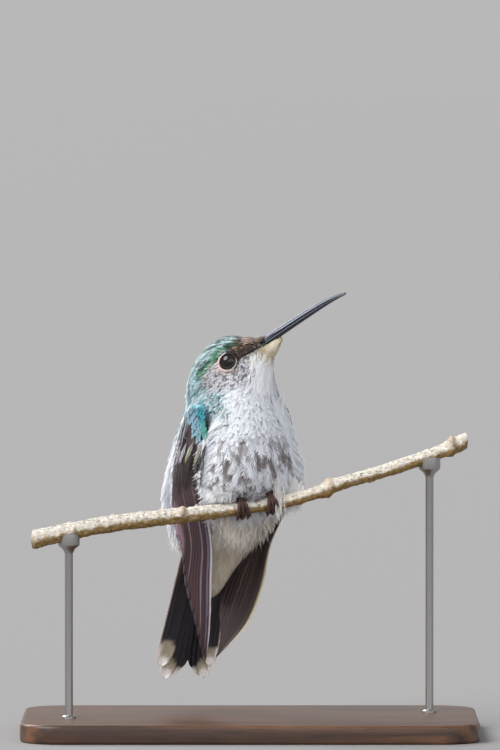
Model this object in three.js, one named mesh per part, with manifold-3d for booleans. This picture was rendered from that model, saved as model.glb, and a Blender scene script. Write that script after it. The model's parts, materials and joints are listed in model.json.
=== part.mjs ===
// A small hummingbird (female woodnymph), life size, perched upright on a cut length of twig that
// two rods hold over a flat base. It looks up over its left shoulder, with its wings hanging closed
// beside a slightly spread tail.
//
// Units are millimetres and +Z is up. The origin is the middle of the base's underside, +X runs along
// the twig to the bird's left, and the bird faces -Y, turned BODY_YAW towards +X.
import * as THREE from "three";
import { mergeVertices } from "three/addons/utils/BufferGeometryUtils.js";
import Module from "manifold-3d";

const wasm = await Module();
wasm.setup();

// ---------------------------------------------------------------- driving dimensions

const CUT = 0.3; // gap between two pieces that meet
const DETAIL = 0.08; // shape smaller than this is left out
// How finely each shape is divided: steps along it, and points round it.
const FACETS = {
  trunk: [23, 22],
  head: [16, 16],
  eye: [8, 12],
  bill: [12, 8],
  arm: [7, 4],
  wingRoom: [10],
  perch: [30, 10],
  toe: [7, 6],
  palm: [6, 5],
  shank: [3, 8],
  rod: [5, 10],
  base: [1, 3],
  footRoom: [1, 12],
};

const BASE = { width: 96, depth: 58, thickness: 4, corner: 9, bevel: 0.7 };
const ROD = { radius: 0.85, at: [-38, 38], collar: 2.3, collarHeight: 4, flare: 1.4 };

const PERCH_YAW = 12; // degrees that the twig turns away from +X, towards +Y
// The twig's centre line: [along, height, radius], with a swelling at each leaf scar.
const PERCH_LINE = [
  [-46.5, 41.6, 1.95],
  [-31.5, 44.5, 1.75],
  [-15.2, 46.3, 1.65],
  [-2.0, 47.7, 1.4],
  [8.0, 49.2, 1.4],
  [15.2, 51.1, 1.45],
  [17.0, 51.8, 1.85],
  [18.8, 52.5, 1.5],
  [31.5, 56.0, 1.45],
  [41.8, 59.5, 1.55],
  [43.6, 60.2, 1.9],
  [46.8, 61.5, 1.65],
];

const BODY_YAW = 28; // degrees
const BODY_AXIS = [-3.7, 8.8]; // where the upright axis of the trunk stands, in X and Y
// Level sections of the trunk and neck: [height, front, back, half width to the right, to the left],
// measured from the axis. The flank is puffed out over the left wing.
const TRUNK_SECTIONS = [
  [81.5, 1.5, 2.5, 2.0, 2.0],
  [80.0, 4.6, 5.6, 4.6, 4.6],
  [77.0, 7.2, 7.2, 6.6, 6.8],
  [74.0, 8.6, 8.4, 7.8, 8.5],
  [70.5, 9.8, 9.6, 8.6, 10.2],
  [67.0, 10.9, 10.6, 9.4, 11.6],
  [63.0, 12.0, 12.0, 11.1, 12.7],
  [59.0, 12.8, 13.1, 12.1, 13.4],
  [55.0, 13.0, 14.1, 13.0, 14.4],
  [51.5, 12.2, 14.8, 13.2, 15.2],
  [48.5, 10.4, 15.1, 12.5, 14.9],
  [45.5, 7.6, 15.2, 12.0, 12.4],
  [42.5, 4.8, 15.0, 11.3, 9.4],
  [39.5, 2.4, 14.7, 9.4, 7.4],
  [36.0, -1.6, 14.0, 5.9, 5.3],
  [32.0, -5.6, 13.2, 3.6, 3.6],
  [29.0, -8.2, 12.6, 2.2, 2.2],
  [28.0, -9.4, 11.6, 1.2, 1.2],
];
const TRUNK_SQUARENESS = [2.1, 2.7]; // of its front and its back; 2 is an ellipse
const NECK_BELOW = 69.5; // height of the level cut between trunk and neck
const NECK_ABOVE = { normal: [-0.21, 0.11, 0.97], height: 73.8 }; // the slanting cut under the head

const HEAD = { centre: [-1.6, -0.6, 76.8], yaw: 50, pitch: 33 }; // yaw counts from the trunk's own
// Sections of the head across its own axis: [forward, middle's height, up, down, half width].
const HEAD_SECTIONS = [
  [-9.6, -1.0, 0.7, 0.9, 0.8],
  [-8.6, -0.8, 2.4, 2.6, 2.8],
  [-6.6, 0, 4.1, 5.2, 4.6],
  [-3.0, 0, 5.9, 7.0, 6.0],
  [1.3, 0, 6.7, 7.6, 6.4],
  [4.9, 0, 5.5, 7.8, 5.2],
  [7.4, 0, 3.3, 6.6, 3.9],
  [9.3, 0, 1.5, 4.2, 2.4],
  [10.8, -1.6, 0.9, 1.2, 1.3],
  [12.6, -1.2, 0.45, 0.55, 0.7],
  [13.5, -1.0, 0.25, 0.25, 0.3],
];
const EYE = { radius: 2.3, side: 4.5, forward: 2.1, up: 0.7 };
// The bill's line: [forward, height, half depth, half width], from inside the head to the tip.
const BILL_LINE = [
  [6.4, 0.3, 0.85, 1.15],
  [12.8, 0.5, 0.98, 1.05],
  [20.8, 0.52, 0.86, 0.85],
  [25.3, 0.38, 0.68, 0.62],
  [28.4, 0.02, 0.42, 0.4],
  [30.2, -0.36, 0.22, 0.22],
];
const BILL_PARTING = { gap: 0.2, below: 0.22, reach: 4 }; // the lower mandible is the thinner one

const WING_LENGTH = 55;
const VANE = 0.55; // thickness of a flight feather's blade
const VANE_STEP = 0.12; // how much higher each feather of a closed wing lies than the next
// Each closed wing is a curved sheet between its leading edge and a line that its feathers run
// parallel to: [outwards, forward, height], from wrist to wing tip.
const WING_RIGHT = {
  side: -1,
  lead: [
    [8.9, 5.2, 69.2],
    [9.6, 7.6, 62.5],
    [11.3, 7.4, 55.0],
    [8.8, 4.7, 48.0],
    [6.2, 2.4, 40.0],
    [4.6, -0.7, 31.5],
    [2.9, -4.2, 22.5],
    [1.5, -8.0, 14.2],
  ],
  trail: [
    [9.3, -2.0, 68.6],
    [11.2, -1.8, 62.0],
    [12.9, -1.8, 55.0],
    [12.2, -2.2, 47.5],
    [9.6, -4.5, 39.5],
    [7.6, -10.2, 30.5],
    [5.6, -11.8, 23.0],
    [4.0, -12.8, 16.0],
  ],
  primaries: [1.0, 0.985, 0.955, 0.915, 0.87, 0.82, 0.77, 0.72, 0.675, 0.635],
};
const WING_LEFT = {
  side: 1,
  lead: [
    [10.2, 2.6, 69.2],
    [12.0, 2.8, 62.5],
    [13.2, 2.6, 55.0],
    [12.4, 1.8, 48.0],
    [9.0, 0.5, 39.5],
    [8.5, -2.3, 30.0],
    [6.6, -5.4, 22.0],
    [1.2, -8.8, 14.9],
  ],
  trail: [
    [10.4, -3.0, 68.6],
    [12.2, -4.5, 61.0],
    [13.3, -6.0, 53.0],
    [11.8, -8.4, 45.5],
    [6.6, -12.6, 38.0],
    [1.4, -14.8, 30.5],
    [-1.8, -14.2, 23.0],
    [-2.2, -12.6, 16.4],
  ],
  primaries: [1.0, 0.985, 0.965, 0.94, 0.91, 0.87, 0.81, 0.745, 0.685, 0.635], // a little open
};
const CAMBER = 0.7; // how far the sheet bows out between its two lines
// A wing's primaries and the secondaries say where each feather ends, as a share of the wing's
// length, outermost first.
const PRIMARY = { from: 0.42, firstAcross: 0.0, lastAcross: 0.62, width: 0.28 };
const SECONDARY_ENDS = [0.6, 0.58, 0.55];
const SECONDARY = { from: 0.36, firstAcross: 0.68, lastAcross: 0.8, width: 0.22 };
// The arm over the blades: edge and wrist are the shares of its thickness that its edges have, and
// of its breadth that it starts with.
const COVERTS = { until: 0.52, thickness: 2.0, edge: 0.35, proud: 0.25, wrist: 0.6 };
const WING_ROOM = 3; // how far out a wing's room reaches, beyond the trunk's surface

const TAIL = {
  root: [0, 10.9, 42.5], // left, back, up
  slope: 13.5, // degrees back from straight down
  lean: 3.5, // degrees over to the right
  apart: 0.8, // between the roots of two neighbouring feathers
  spread: 0.65, // degrees between two neighbouring feathers
  step: 0.2, // how far each feather lies under the one inside it
  lengths: [29.6, 31.2, 32.6, 33.2, 30.4], // from the middle pair, which is the shorter, outwards
  width: 4.3,
};

const FOOT = {
  along: [-1.9, 4.4], // where the right and the left foot grip the twig
  rest: 0.3, // between a toe and the bark
  toe: 0.42, // radius of a toe, and of the claw that ends it
  claw: 0.26,
  hook: 0.35, // how far a claw's arc leaves the toe's
  knuckle: 0.14, // how much a toe swells at its joints
  spread: 1.15, // between two front toes
  palm: 0.75,
};
// Degrees round the twig, from its top, that a toe covers and then its claw.
const FRONT_TOE = { side: 1, toe: 142, claw: 62 };
const HIND_TOE = { side: -1, toe: 120, claw: 58 };
const SHANK = { bottom: 0.5, top: 1.05, back: 1.5, up: 2.9 }; // radii, and where it leads

// ---------------------------------------------------------------- materials

const finish = (color, roughness, metalness = 0) =>
  new THREE.MeshStandardMaterial({ color, roughness, metalness });
const MATERIAL = {
  underparts: finish(0xd9d8dc, 0.9),
  crown: finish(0x6fae9c, 0.55, 0.1),
  flight: finish(0x3b3034, 0.6),
  bill: finish(0x22222a, 0.35),
  eye: finish(0x120c0b, 0.08),
  foot: finish(0x3a2826, 0.65),
  bark: finish(0xb9a67e, 0.85),
  wood: finish(0x3d2b20, 0.5),
  steel: finish(0x8a8680, 0.35, 0.9),
};

// ---------------------------------------------------------------- helpers

const radians = THREE.MathUtils.degToRad;
const point = (x, y, z) => new THREE.Vector3(x, y, z);

/** A smooth line of values: table rows go in, and at(0..1) gives a row between them. */
function smoothRows(rows) {
  const width = rows[0].length;
  const curves = [];
  for (let i = 0; i < width; i += 3) {
    curves.push(
      new THREE.CatmullRomCurve3(rows.map((r) => point(r[i], r[i + 1] ?? 0, r[i + 2] ?? 0))),
    );
  }
  return (t) => curves.flatMap((curve) => curve.getPoint(t).toArray()).slice(0, width);
}

/** A closed solid through equal rings of points, with a fan of triangles over each end. */
function loft(rings) {
  const count = rings[0].length;
  const points = rings.flat();
  const index = [];
  for (let i = 0; i < rings.length - 1; i++) {
    for (let j = 0; j < count; j++) {
      const a = i * count + j;
      const b = i * count + ((j + 1) % count);
      index.push(a, b, b + count, a, b + count, a + count);
    }
  }
  [0, rings.length - 1].forEach((ring, end) => {
    const first = ring * count;
    for (let j = 1; j < count - 1; j++) {
      const pair = end ? [first + j, first + j + 1] : [first + j + 1, first + j];
      index.push(first, ...pair);
    }
  });
  return solidOf(new THREE.BufferGeometry().setFromPoints(points).setIndex(index));
}

/** A closed geometry as a manifold-3d solid, turned outside out if its faces point inwards. */
function solidOf(geometry) {
  const bare = geometry.clone();
  bare.deleteAttribute("normal");
  bare.deleteAttribute("uv");
  const merged = mergeVertices(bare, 1e-4);
  const vertProperties = merged.attributes.position.array;
  const triVerts = new Uint32Array(merged.index.array);
  const made = new wasm.Manifold(new wasm.Mesh({ numProp: 3, vertProperties, triVerts }));
  if (made.volume() > 0) return made;
  triVerts.reverse();
  return new wasm.Manifold(new wasm.Mesh({ numProp: 3, vertProperties, triVerts }));
}

/** The largest body of a solid: a cut can leave slivers beside it. */
function mainBody(solid) {
  return solid.decompose().sort((a, b) => b.volume() - a.volume())[0];
}

/** A named mesh of a solid's main body, without the points that its shape does not need. */
function meshOf(name, solid, material) {
  const { vertProperties, triVerts } = mainBody(solid.simplify(DETAIL)).getMesh();
  const geometry = new THREE.BufferGeometry();
  geometry.setAttribute("position", new THREE.BufferAttribute(vertProperties, 3));
  geometry.setIndex(new THREE.BufferAttribute(triVerts, 1));
  geometry.computeVertexNormals();
  const mesh = new THREE.Mesh(geometry, material);
  mesh.name = name;
  return mesh;
}

/** A ring round centre, in the plane of u and v. left and right are its half sizes against and
 * along u, down and up those against and along v; a half size left out is the same as its pair.
 * square is 2 for an ellipse and more for a fuller shape, first against v, then along it. */
function oval(centre, u, v, sizes, count, square = [2, 2]) {
  const { right, left = right, up = right, down = up } = sizes;
  const ring = [];
  for (let i = 0; i < count; i++) {
    const angle = (i / count) * 2 * Math.PI;
    const [c, s] = [Math.cos(angle), Math.sin(angle)];
    const power = 2 / square[s > 0 ? 1 : 0];
    const x = (c > 0 ? right : left) * Math.sign(c) * Math.abs(c) ** power;
    const y = (s > 0 ? up : down) * Math.sign(s) * Math.abs(s) ** power;
    ring.push(centre.clone().addScaledVector(u, x).addScaledVector(v, y));
  }
  return ring;
}

const steps = (count) => Array.from({ length: count + 1 }, (_, i) => i / count);
const union = (solids) => solids.reduce((all, one) => all.add(one));

// ---------------------------------------------------------------- frames

const UP = point(0, 0, 1);
const bird = new THREE.Group();
bird.position.set(BODY_AXIS[0], BODY_AXIS[1], 0);
bird.rotation.z = radians(BODY_YAW);
const headFrame = new THREE.Group();
headFrame.position.set(...HEAD.centre);
headFrame.rotation.set(-radians(HEAD.pitch), 0, radians(HEAD.yaw), "ZYX");
bird.add(headFrame);
bird.updateMatrixWorld(true);

/** A solid of one frame as it is in another. */
function inFrame(solid, from, to) {
  const matrix = to.matrixWorld.clone().invert().multiply(from.matrixWorld);
  return solid.transform(matrix.toArray());
}
const world = new THREE.Group();

// ---------------------------------------------------------------- trunk and head

function trunkSolid() {
  const at = smoothRows(TRUNK_SECTIONS);
  const [along, round] = FACETS.trunk;
  const rings = steps(along).map((t) => {
    const [height, front, back, right, left] = at(t);
    const middle = point(0, (back - front) / 2, height);
    const sizes = { left: right, right: left, up: (front + back) / 2 }; // its left is +X
    return oval(middle, point(1, 0, 0), point(0, 1, 0), sizes, round, TRUNK_SQUARENESS);
  });
  return loft(rings);
}

function headSolid() {
  const at = smoothRows(HEAD_SECTIONS);
  const [along, round] = FACETS.head;
  const rings = steps(along).map((t) => {
    const [forward, middle, up, down, half] = at(t);
    return oval(point(0, -forward, middle), point(1, 0, 0), UP, { right: half, up, down }, round);
  });
  return loft(rings);
}

function eyeSolid(side, grow = 0) {
  const [rows, round] = FACETS.eye;
  const ball = new THREE.SphereGeometry(EYE.radius + grow, round, rows);
  return solidOf(ball.translate(side * EYE.side, -EYE.forward, EYE.up));
}

function billSolid(grow = 0) {
  const at = smoothRows(BILL_LINE);
  const [along, round] = FACETS.bill;
  const rings = steps(along).map((t) => {
    const [forward, height, deep, half] = at(t);
    const centre = point(0, -forward - (2 * t - 1) * grow, height);
    return oval(centre, point(1, 0, 0), UP, { right: half + grow, up: deep + grow }, round);
  });
  return loft(rings);
}

/** The bill parted by a bent sheet that follows its line, a little below the middle. */
function billHalves() {
  const at = smoothRows(BILL_LINE);
  const rows = steps(FACETS.bill[0]).map((t) => at(t));
  const half = BILL_PARTING.gap / 2;
  const rings = rows.map(([forward, height, deep], i) => {
    const clear = i === 0 ? 1 : i === rows.length - 1 ? -1 : 0; // both ends stand clear of the bill
    const centre = point(0, -forward + clear, height - BILL_PARTING.below * deep);
    const corners = [[-1, -1], [1, -1], [1, 1], [-1, 1]];
    return corners.map(([x, z]) => centre.clone().add(point(x * BILL_PARTING.reach, 0, z * half)));
  });
  const top = (solid) => solid.boundingBox().max[2];
  const [one, other] = billSolid()
    .subtract(loft(rings))
    .decompose()
    .sort((a, b) => b.volume() - a.volume());
  return top(one) > top(other) ? [one, other] : [other, one];
}

// ---------------------------------------------------------------- wings

/** The sheet that a closed wing lies in: point and outward normal at (along, across). */
function wingSheet(wing) {
  const lead = smoothRows(wing.lead);
  const trail = smoothRows(wing.trail);
  const place = (along, across) => {
    const within = THREE.MathUtils.clamp(along, 0, 1); // past an end, the sheet goes straight on
    const [a, b] = [lead(within), trail(within)];
    const row = a.map((value, i) => THREE.MathUtils.lerp(value, b[i], across));
    const bow = CAMBER * 4 * across * (1 - across);
    return point(wing.side * (row[0] + bow), -row[1], row[2] - (along - within) * WING_LENGTH);
  };
  const normal = (along, across) => {
    const s = THREE.MathUtils.clamp(along, 0.01, 0.99);
    const down = place(s + 0.01, across).sub(place(s - 0.01, across));
    const over = place(s, across + 0.01).sub(place(s, across - 0.01));
    const made = new THREE.Vector3().crossVectors(down, over).normalize();
    return made.x * wing.side < 0 ? made.negate() : made;
  };
  return { place, normal };
}

/** One blade in the sheet, from along a to along b: it rises to its lift and ends round. */
function wingBlade(sheet, from, to, across, width, lift) {
  const profile = [
    [0, 1, 0],
    [0.3, 1, 0.6],
    [0.6, 1, 1],
    [0.85, 0.93, 1],
    [0.96, 0.66, 1],
    [1, 0.3, 1],
  ]; // share of the length, share of the width, share of the lift
  const rings = profile.map(([share, wideShare, rise]) => {
    const along = THREE.MathUtils.lerp(from, to, share);
    const middle = across + width / 2;
    const half = (width / 2) * wideShare;
    const normal = sheet.normal(along, middle);
    const corner = (side, face) =>
      sheet
        .place(along, middle + side * half)
        .addScaledVector(normal, lift * rise + (face * VANE) / 2);
    return [corner(-1, -1), corner(1, -1), corner(1, 1), corner(-1, 1)];
  });
  return loft(rings);
}

/** The arm with its coverts: thick at the wrist, thin where the blades come out from under it. */
function wingArm(sheet) {
  const [length, columns] = FACETS.arm;
  const rings = steps(length).map((t) => {
    const bulk = armThickness(t) / 2;
    const chord = t === 0 ? COVERTS.wrist : 1; // rounded off where it starts
    const spot = (share, face) => {
      const along = t * COVERTS.until;
      const across = 0.5 + (share - 0.5) * chord;
      const crown = THREE.MathUtils.lerp(COVERTS.edge, 1, Math.sin(Math.PI * share)) * bulk * chord;
      const out = face * crown + COVERTS.proud;
      return sheet.place(along, across).addScaledVector(sheet.normal(along, across), out);
    };
    const under = steps(columns).map((share) => spot(share, -1));
    const over = steps(columns).map((share) => spot(1 - share, 1));
    return [...under, ...over];
  });
  return loft(rings);
}

/** How thick the arm is at its middle, a share t of the way down it. */
function armThickness(t) {
  return THREE.MathUtils.lerp(COVERTS.thickness, VANE + 0.2, t * t);
}

function wingSolid(wing) {
  const sheet = wingSheet(wing);
  const row = (ends, form, firstLift) =>
    ends.map((end, i) => {
      const share = i / (ends.length - 1);
      const across = THREE.MathUtils.lerp(form.firstAcross, form.lastAcross, share);
      return wingBlade(sheet, form.from, end, across, form.width, firstLift + i * VANE_STEP);
    });
  const lastLift = wing.primaries.length * VANE_STEP;
  return union([
    wingArm(sheet),
    ...row(wing.primaries, PRIMARY, 0),
    ...row(SECONDARY_ENDS, SECONDARY, lastLift - 0.3),
  ]);
}

/** The room that a wing takes out of the trunk: everything outside its inner face. */
function wingRoom(wing) {
  const sheet = wingSheet(wing);
  const rings = steps(FACETS.wingRoom[0]).map((t) => {
    const along = THREE.MathUtils.lerp(-0.01, 1.02, t);
    const share = THREE.MathUtils.clamp(along / COVERTS.until, 0, 1);
    const arm = share < 1 ? armThickness(share) / 2 - COVERTS.proud : 0;
    const middle = Math.max(arm, VANE / 2) + CUT;
    const edge = Math.max(arm / 2, VANE / 2) + CUT;
    const spot = (across, out) =>
      sheet.place(along, across).addScaledVector(sheet.normal(along, across), out);
    const [lead, trail] = [-CUT / 7, 1 + CUT / 4]; // just past the wing's edges
    return [
      spot(lead, -edge),
      spot(0.25, -middle),
      spot(0.75, -middle),
      spot(trail, -edge),
      spot(trail, WING_ROOM),
      spot(0.5, WING_ROOM),
      spot(lead, WING_ROOM),
    ];
  });
  return loft(rings);
}

// ---------------------------------------------------------------- tail

/** A place on the tail: down the feather of this rank and side, and out from its middle. */
function tailSpot(rank, side, length, out, lift) {
  const turn = radians(side * (rank + 0.5) * TAIL.spread - TAIL.lean);
  const slope = radians(TAIL.slope);
  const down = point(0, Math.sin(slope), -Math.cos(slope));
  const belly = point(0, -Math.cos(slope), -Math.sin(slope));
  const across = point(1, 0, 0);
  return point(...TAIL.root)
    .addScaledVector(across, side * (rank + 0.4) * TAIL.apart)
    .addScaledVector(down, length * Math.cos(turn) - out * Math.sin(turn))
    .addScaledVector(across, length * Math.sin(turn) + out * Math.cos(turn))
    .addScaledVector(belly, lift);
}

/** One tail feather: a flat blade that widens from its root and ends round. */
function tailFeather(rank, side) {
  const lift = (rank + (side > 0 ? 0.5 : 0)) * TAIL.step;
  const profile = [[0, 0.55], [0.4, 0.85], [0.75, 1], [0.9, 0.9], [0.97, 0.6], [1, 0.25]];
  const rings = profile.map(([share, wideShare]) => {
    const length = share * TAIL.lengths[rank];
    const half = (TAIL.width / 2) * wideShare;
    const corner = (x, y) => tailSpot(rank, side, length, x * half, lift + (y * VANE) / 2);
    return [corner(-1, -1), corner(1, -1), corner(1, 1), corner(-1, 1)];
  });
  return loft(rings);
}

function tailSolid() {
  const ranks = TAIL.lengths.map((_, rank) => rank);
  return union(ranks.flatMap((rank) => [tailFeather(rank, -1), tailFeather(rank, 1)]));
}

/** The room that the tail takes out of the trunk. */
function tailRoom() {
  const last = TAIL.lengths.length - 1;
  const half = TAIL.width / 2 + CUT;
  const low = -VANE / 2 - CUT;
  const high = (last + 0.5) * TAIL.step + VANE / 2 + CUT;
  const rings = [-CUT, TAIL.lengths[last]].map((length) => [
    tailSpot(last, -1, length, -half, low),
    tailSpot(last, 1, length, half, low),
    tailSpot(last, 1, length, half, high),
    tailSpot(last, -1, length, -half, high),
  ]);
  return loft(rings);
}

// ---------------------------------------------------------------- perch, legs and feet

/** The twig's line in world axes: middle, radius, and the directions along, back and up. */
function perchAt(t) {
  const at = smoothRows(PERCH_LINE);
  const spot = (share) => {
    const [along, height] = at(THREE.MathUtils.clamp(share, 0, 1));
    const yaw = radians(PERCH_YAW);
    return point(along * Math.cos(yaw), along * Math.sin(yaw), height);
  };
  const along = spot(t + 0.01).sub(spot(t - 0.01)).normalize();
  const back = new THREE.Vector3().crossVectors(UP, along).normalize();
  const up = new THREE.Vector3().crossVectors(along, back);
  return { middle: spot(t), radius: at(THREE.MathUtils.clamp(t, 0, 1))[2], along, back, up };
}

/** The share of the twig's line at which it stands at a distance along X. */
function perchShare(x) {
  let [low, high] = [0, 1];
  for (let i = 0; i < 30; i++) {
    const half = (low + high) / 2;
    if (perchAt(half).middle.x < x) low = half;
    else high = half;
  }
  return low;
}

function perchSolid(grow = 0) {
  const [length, round] = FACETS.perch;
  const rings = steps(length).map((t) => {
    const { middle, radius, along, back, up } = perchAt(t);
    middle.addScaledVector(along, (2 * t - 1) * grow);
    return oval(middle, back, up, { right: radius + grow }, round);
  });
  return loft(rings);
}

/** A toe: an arc round the twig, from its top over one side, ending in a thinner hooked claw. */
function toeSolid(spot, form, shift) {
  const grip = spot.radius + FOOT.rest + FOOT.toe;
  const sweep = form.toe + form.claw;
  const [length, round] = FACETS.toe;
  const rings = steps(length).map((t) => {
    const angle = radians(90 + form.side * t * sweep);
    const claw = Math.max(0, (t * sweep - form.toe) / form.claw);
    const joint = 1 + FOOT.knuckle * Math.cos(t * 6 * Math.PI) * (1 - claw);
    const thick = THREE.MathUtils.lerp(FOOT.toe * joint, FOOT.claw, claw);
    const reach = grip + FOOT.hook * Math.sin((claw * Math.PI) / 2);
    const out = spot.back.clone().multiplyScalar(Math.cos(angle));
    out.addScaledVector(spot.up, Math.sin(angle));
    const centre = spot.middle.clone().addScaledVector(out, reach);
    centre.addScaledVector(spot.along, shift * Math.min(1, t * 1.6));
    return oval(centre, spot.along, out, { right: thick }, round);
  });
  return loft(rings);
}

function footSolid(spot) {
  const toes = [-1, 0, 1].map((rank) => toeSolid(spot, FRONT_TOE, rank * FOOT.spread));
  const palm = new THREE.SphereGeometry(FOOT.palm, ...FACETS.palm);
  const height = spot.radius + FOOT.rest + FOOT.palm;
  palm.translate(...spot.middle.clone().addScaledVector(spot.up, height).toArray());
  return union([...toes, toeSolid(spot, HIND_TOE, 0), solidOf(palm)]);
}

/** The room that a foot takes out of the belly: a short drum round the twig. */
function footRoom(spot) {
  const radius = spot.radius + FOOT.rest + 2 * FOOT.toe + FOOT.hook + CUT;
  const half = FOOT.spread + FOOT.toe + CUT;
  const rings = [-1, 1].map((side) => {
    const centre = spot.middle.clone().addScaledVector(spot.along, side * half);
    return oval(centre, spot.back, spot.up, { right: radius }, FACETS.footRoom[1]);
  });
  return loft(rings);
}

/** The shank: from just above the foot up and back to where the belly hides it. */
function shankSolid(spot, grow = 0) {
  const clear = spot.radius + FOOT.rest + 2 * FOOT.palm + CUT;
  const foot = spot.middle.clone().addScaledVector(spot.up, clear);
  const knee = foot.clone().addScaledVector(spot.back, SHANK.back).addScaledVector(UP, SHANK.up);
  const run = knee.clone().sub(foot).normalize();
  const side = new THREE.Vector3().crossVectors(run, spot.along).normalize();
  const [length, round] = FACETS.shank;
  const rings = steps(length).map((t) => {
    const centre = foot.clone().lerp(knee, t).addScaledVector(run, (2 * t - 1) * grow);
    const thick = THREE.MathUtils.lerp(SHANK.bottom, SHANK.top, t * t) + grow;
    return oval(centre, spot.along, side, { right: thick }, round);
  });
  return loft(rings);
}

// ---------------------------------------------------------------- stand

function baseGeometry() {
  const [w, d, r] = [BASE.width / 2 - BASE.bevel, BASE.depth / 2 - BASE.bevel, BASE.corner];
  const outline = new THREE.Shape();
  outline.moveTo(-w + r, -d);
  outline.lineTo(w - r, -d);
  outline.absarc(w - r, -d + r, r, -Math.PI / 2, 0);
  outline.absarc(w - r, d - r, r, 0, Math.PI / 2);
  outline.absarc(-w + r, d - r, r, Math.PI / 2, Math.PI);
  outline.absarc(-w + r, -d + r, r, Math.PI, 1.5 * Math.PI);
  const geometry = new THREE.ExtrudeGeometry(outline, {
    depth: BASE.thickness - 2 * BASE.bevel,
    bevelThickness: BASE.bevel,
    bevelSize: BASE.bevel,
    bevelSegments: 1,
    curveSegments: FACETS.base[1],
  });
  return geometry.translate(0, 0, BASE.bevel);
}

/** A rod with a collar at its top, hollowed to the twig that lies on it. */
function rodSolid(x, twig) {
  const spot = perchAt(perchShare(x));
  const top = spot.middle.z - CUT;
  const neck = top - ROD.collarHeight;
  const profile = [
    [0, BASE.thickness],
    [ROD.radius, BASE.thickness],
    [ROD.radius, neck],
    [ROD.collar, neck + ROD.flare],
    [ROD.collar, top],
    [0, top],
  ];
  const outline = profile.map(([radius, height]) => new THREE.Vector2(radius, height));
  const turned = new THREE.LatheGeometry(outline, FACETS.rod[1]);
  turned.rotateX(Math.PI / 2); // the lathe turns about Y, the rod about Z
  turned.translate(spot.middle.x, spot.middle.y, 0);
  return solidOf(turned).subtract(twig);
}

// ---------------------------------------------------------------- assembly

const perch = perchSolid();
const perchRoom = perchSolid(CUT);
const [rightSpot, leftSpot] = FOOT.along.map((along) => perchAt(perchShare(along)));

// What is cut out of the bird's flesh, so that each piece lies in room of its own.
const perchSide = [perchRoom, ...[rightSpot, leftSpot].map((spot) => shankSolid(spot, CUT))];
const rooms = union([
  tailRoom(),
  wingRoom(WING_RIGHT),
  wingRoom(WING_LEFT),
  inFrame(union([...perchSide, footRoom(rightSpot), footRoom(leftSpot)]), world, bird),
  inFrame(union([billSolid(CUT), eyeSolid(-1, CUT), eyeSolid(1, CUT)]), headFrame, bird),
]);
const flesh = trunkSolid().add(inFrame(headSolid(), headFrame, bird)).subtract(rooms);

const level = [0, 0, 1];
const slant = point(...NECK_ABOVE.normal).normalize();
const slantHeight = NECK_ABOVE.height * slant.z;
const above = flesh.trimByPlane(slant.toArray(), slantHeight + CUT / 2);
const under = flesh.trimByPlane(slant.clone().negate().toArray(), -(slantHeight - CUT / 2));
const neck = under.trimByPlane(level, NECK_BELOW + CUT / 2);
const trunk = flesh.trimByPlane([0, 0, -1], -(NECK_BELOW - CUT / 2));
const [billUpper, billLower] = billHalves();

bird.add(
  meshOf("head", above, MATERIAL.crown),
  meshOf("neck", neck, MATERIAL.underparts),
  meshOf("trunk", trunk, MATERIAL.underparts),
  meshOf("wing_right", wingSolid(WING_RIGHT), MATERIAL.flight),
  meshOf("wing_left", wingSolid(WING_LEFT), MATERIAL.flight),
  meshOf("tail", tailSolid(), MATERIAL.flight),
);
headFrame.add(
  meshOf("eye_right", eyeSolid(-1), MATERIAL.eye),
  meshOf("eye_left", eyeSolid(1), MATERIAL.eye),
  meshOf("bill_upper", billUpper, MATERIAL.bill),
  meshOf("bill_lower", billLower, MATERIAL.bill),
);

const model = new THREE.Group();
const rods = ROD.at.map((x) => rodSolid(x, perchRoom));
model.add(
  bird,
  meshOf("leg_right", shankSolid(rightSpot), MATERIAL.underparts),
  meshOf("leg_left", shankSolid(leftSpot), MATERIAL.underparts),
  meshOf("foot_right", footSolid(rightSpot), MATERIAL.foot),
  meshOf("foot_left", footSolid(leftSpot), MATERIAL.foot),
  meshOf("perch", perch, MATERIAL.bark),
  meshOf("stand_rod_right", rods[0], MATERIAL.steel),
  meshOf("stand_rod_left", rods[1], MATERIAL.steel),
  meshOf("stand_base", solidOf(baseGeometry()), MATERIAL.wood),
);

export default model;
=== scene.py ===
"""A life-size hummingbird, a female woodnymph, perched upright on a cut length of twig.

The bird is a museum-type model: glass eyes, a horn bill, and a coat of separate feathers over one
skin. Each feather is a fan of thin barbs, or a vane with a shaft on the wings and tail. Two steel
rods hold the twig over a flat wooden base.

Sizes are in millimetres until a mesh is made. Feathers are worked out in the bird's own frame:
+x is its left, -y its front and +z is up.
"""

import json
import logging
import math
from collections.abc import Callable, Iterator, Sequence
from contextlib import contextmanager
from dataclasses import dataclass, field
from enum import Enum

import bpy
import numpy as np
from mathutils import Matrix, Vector, noise
from mathutils.bvhtree import BVHTree

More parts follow.
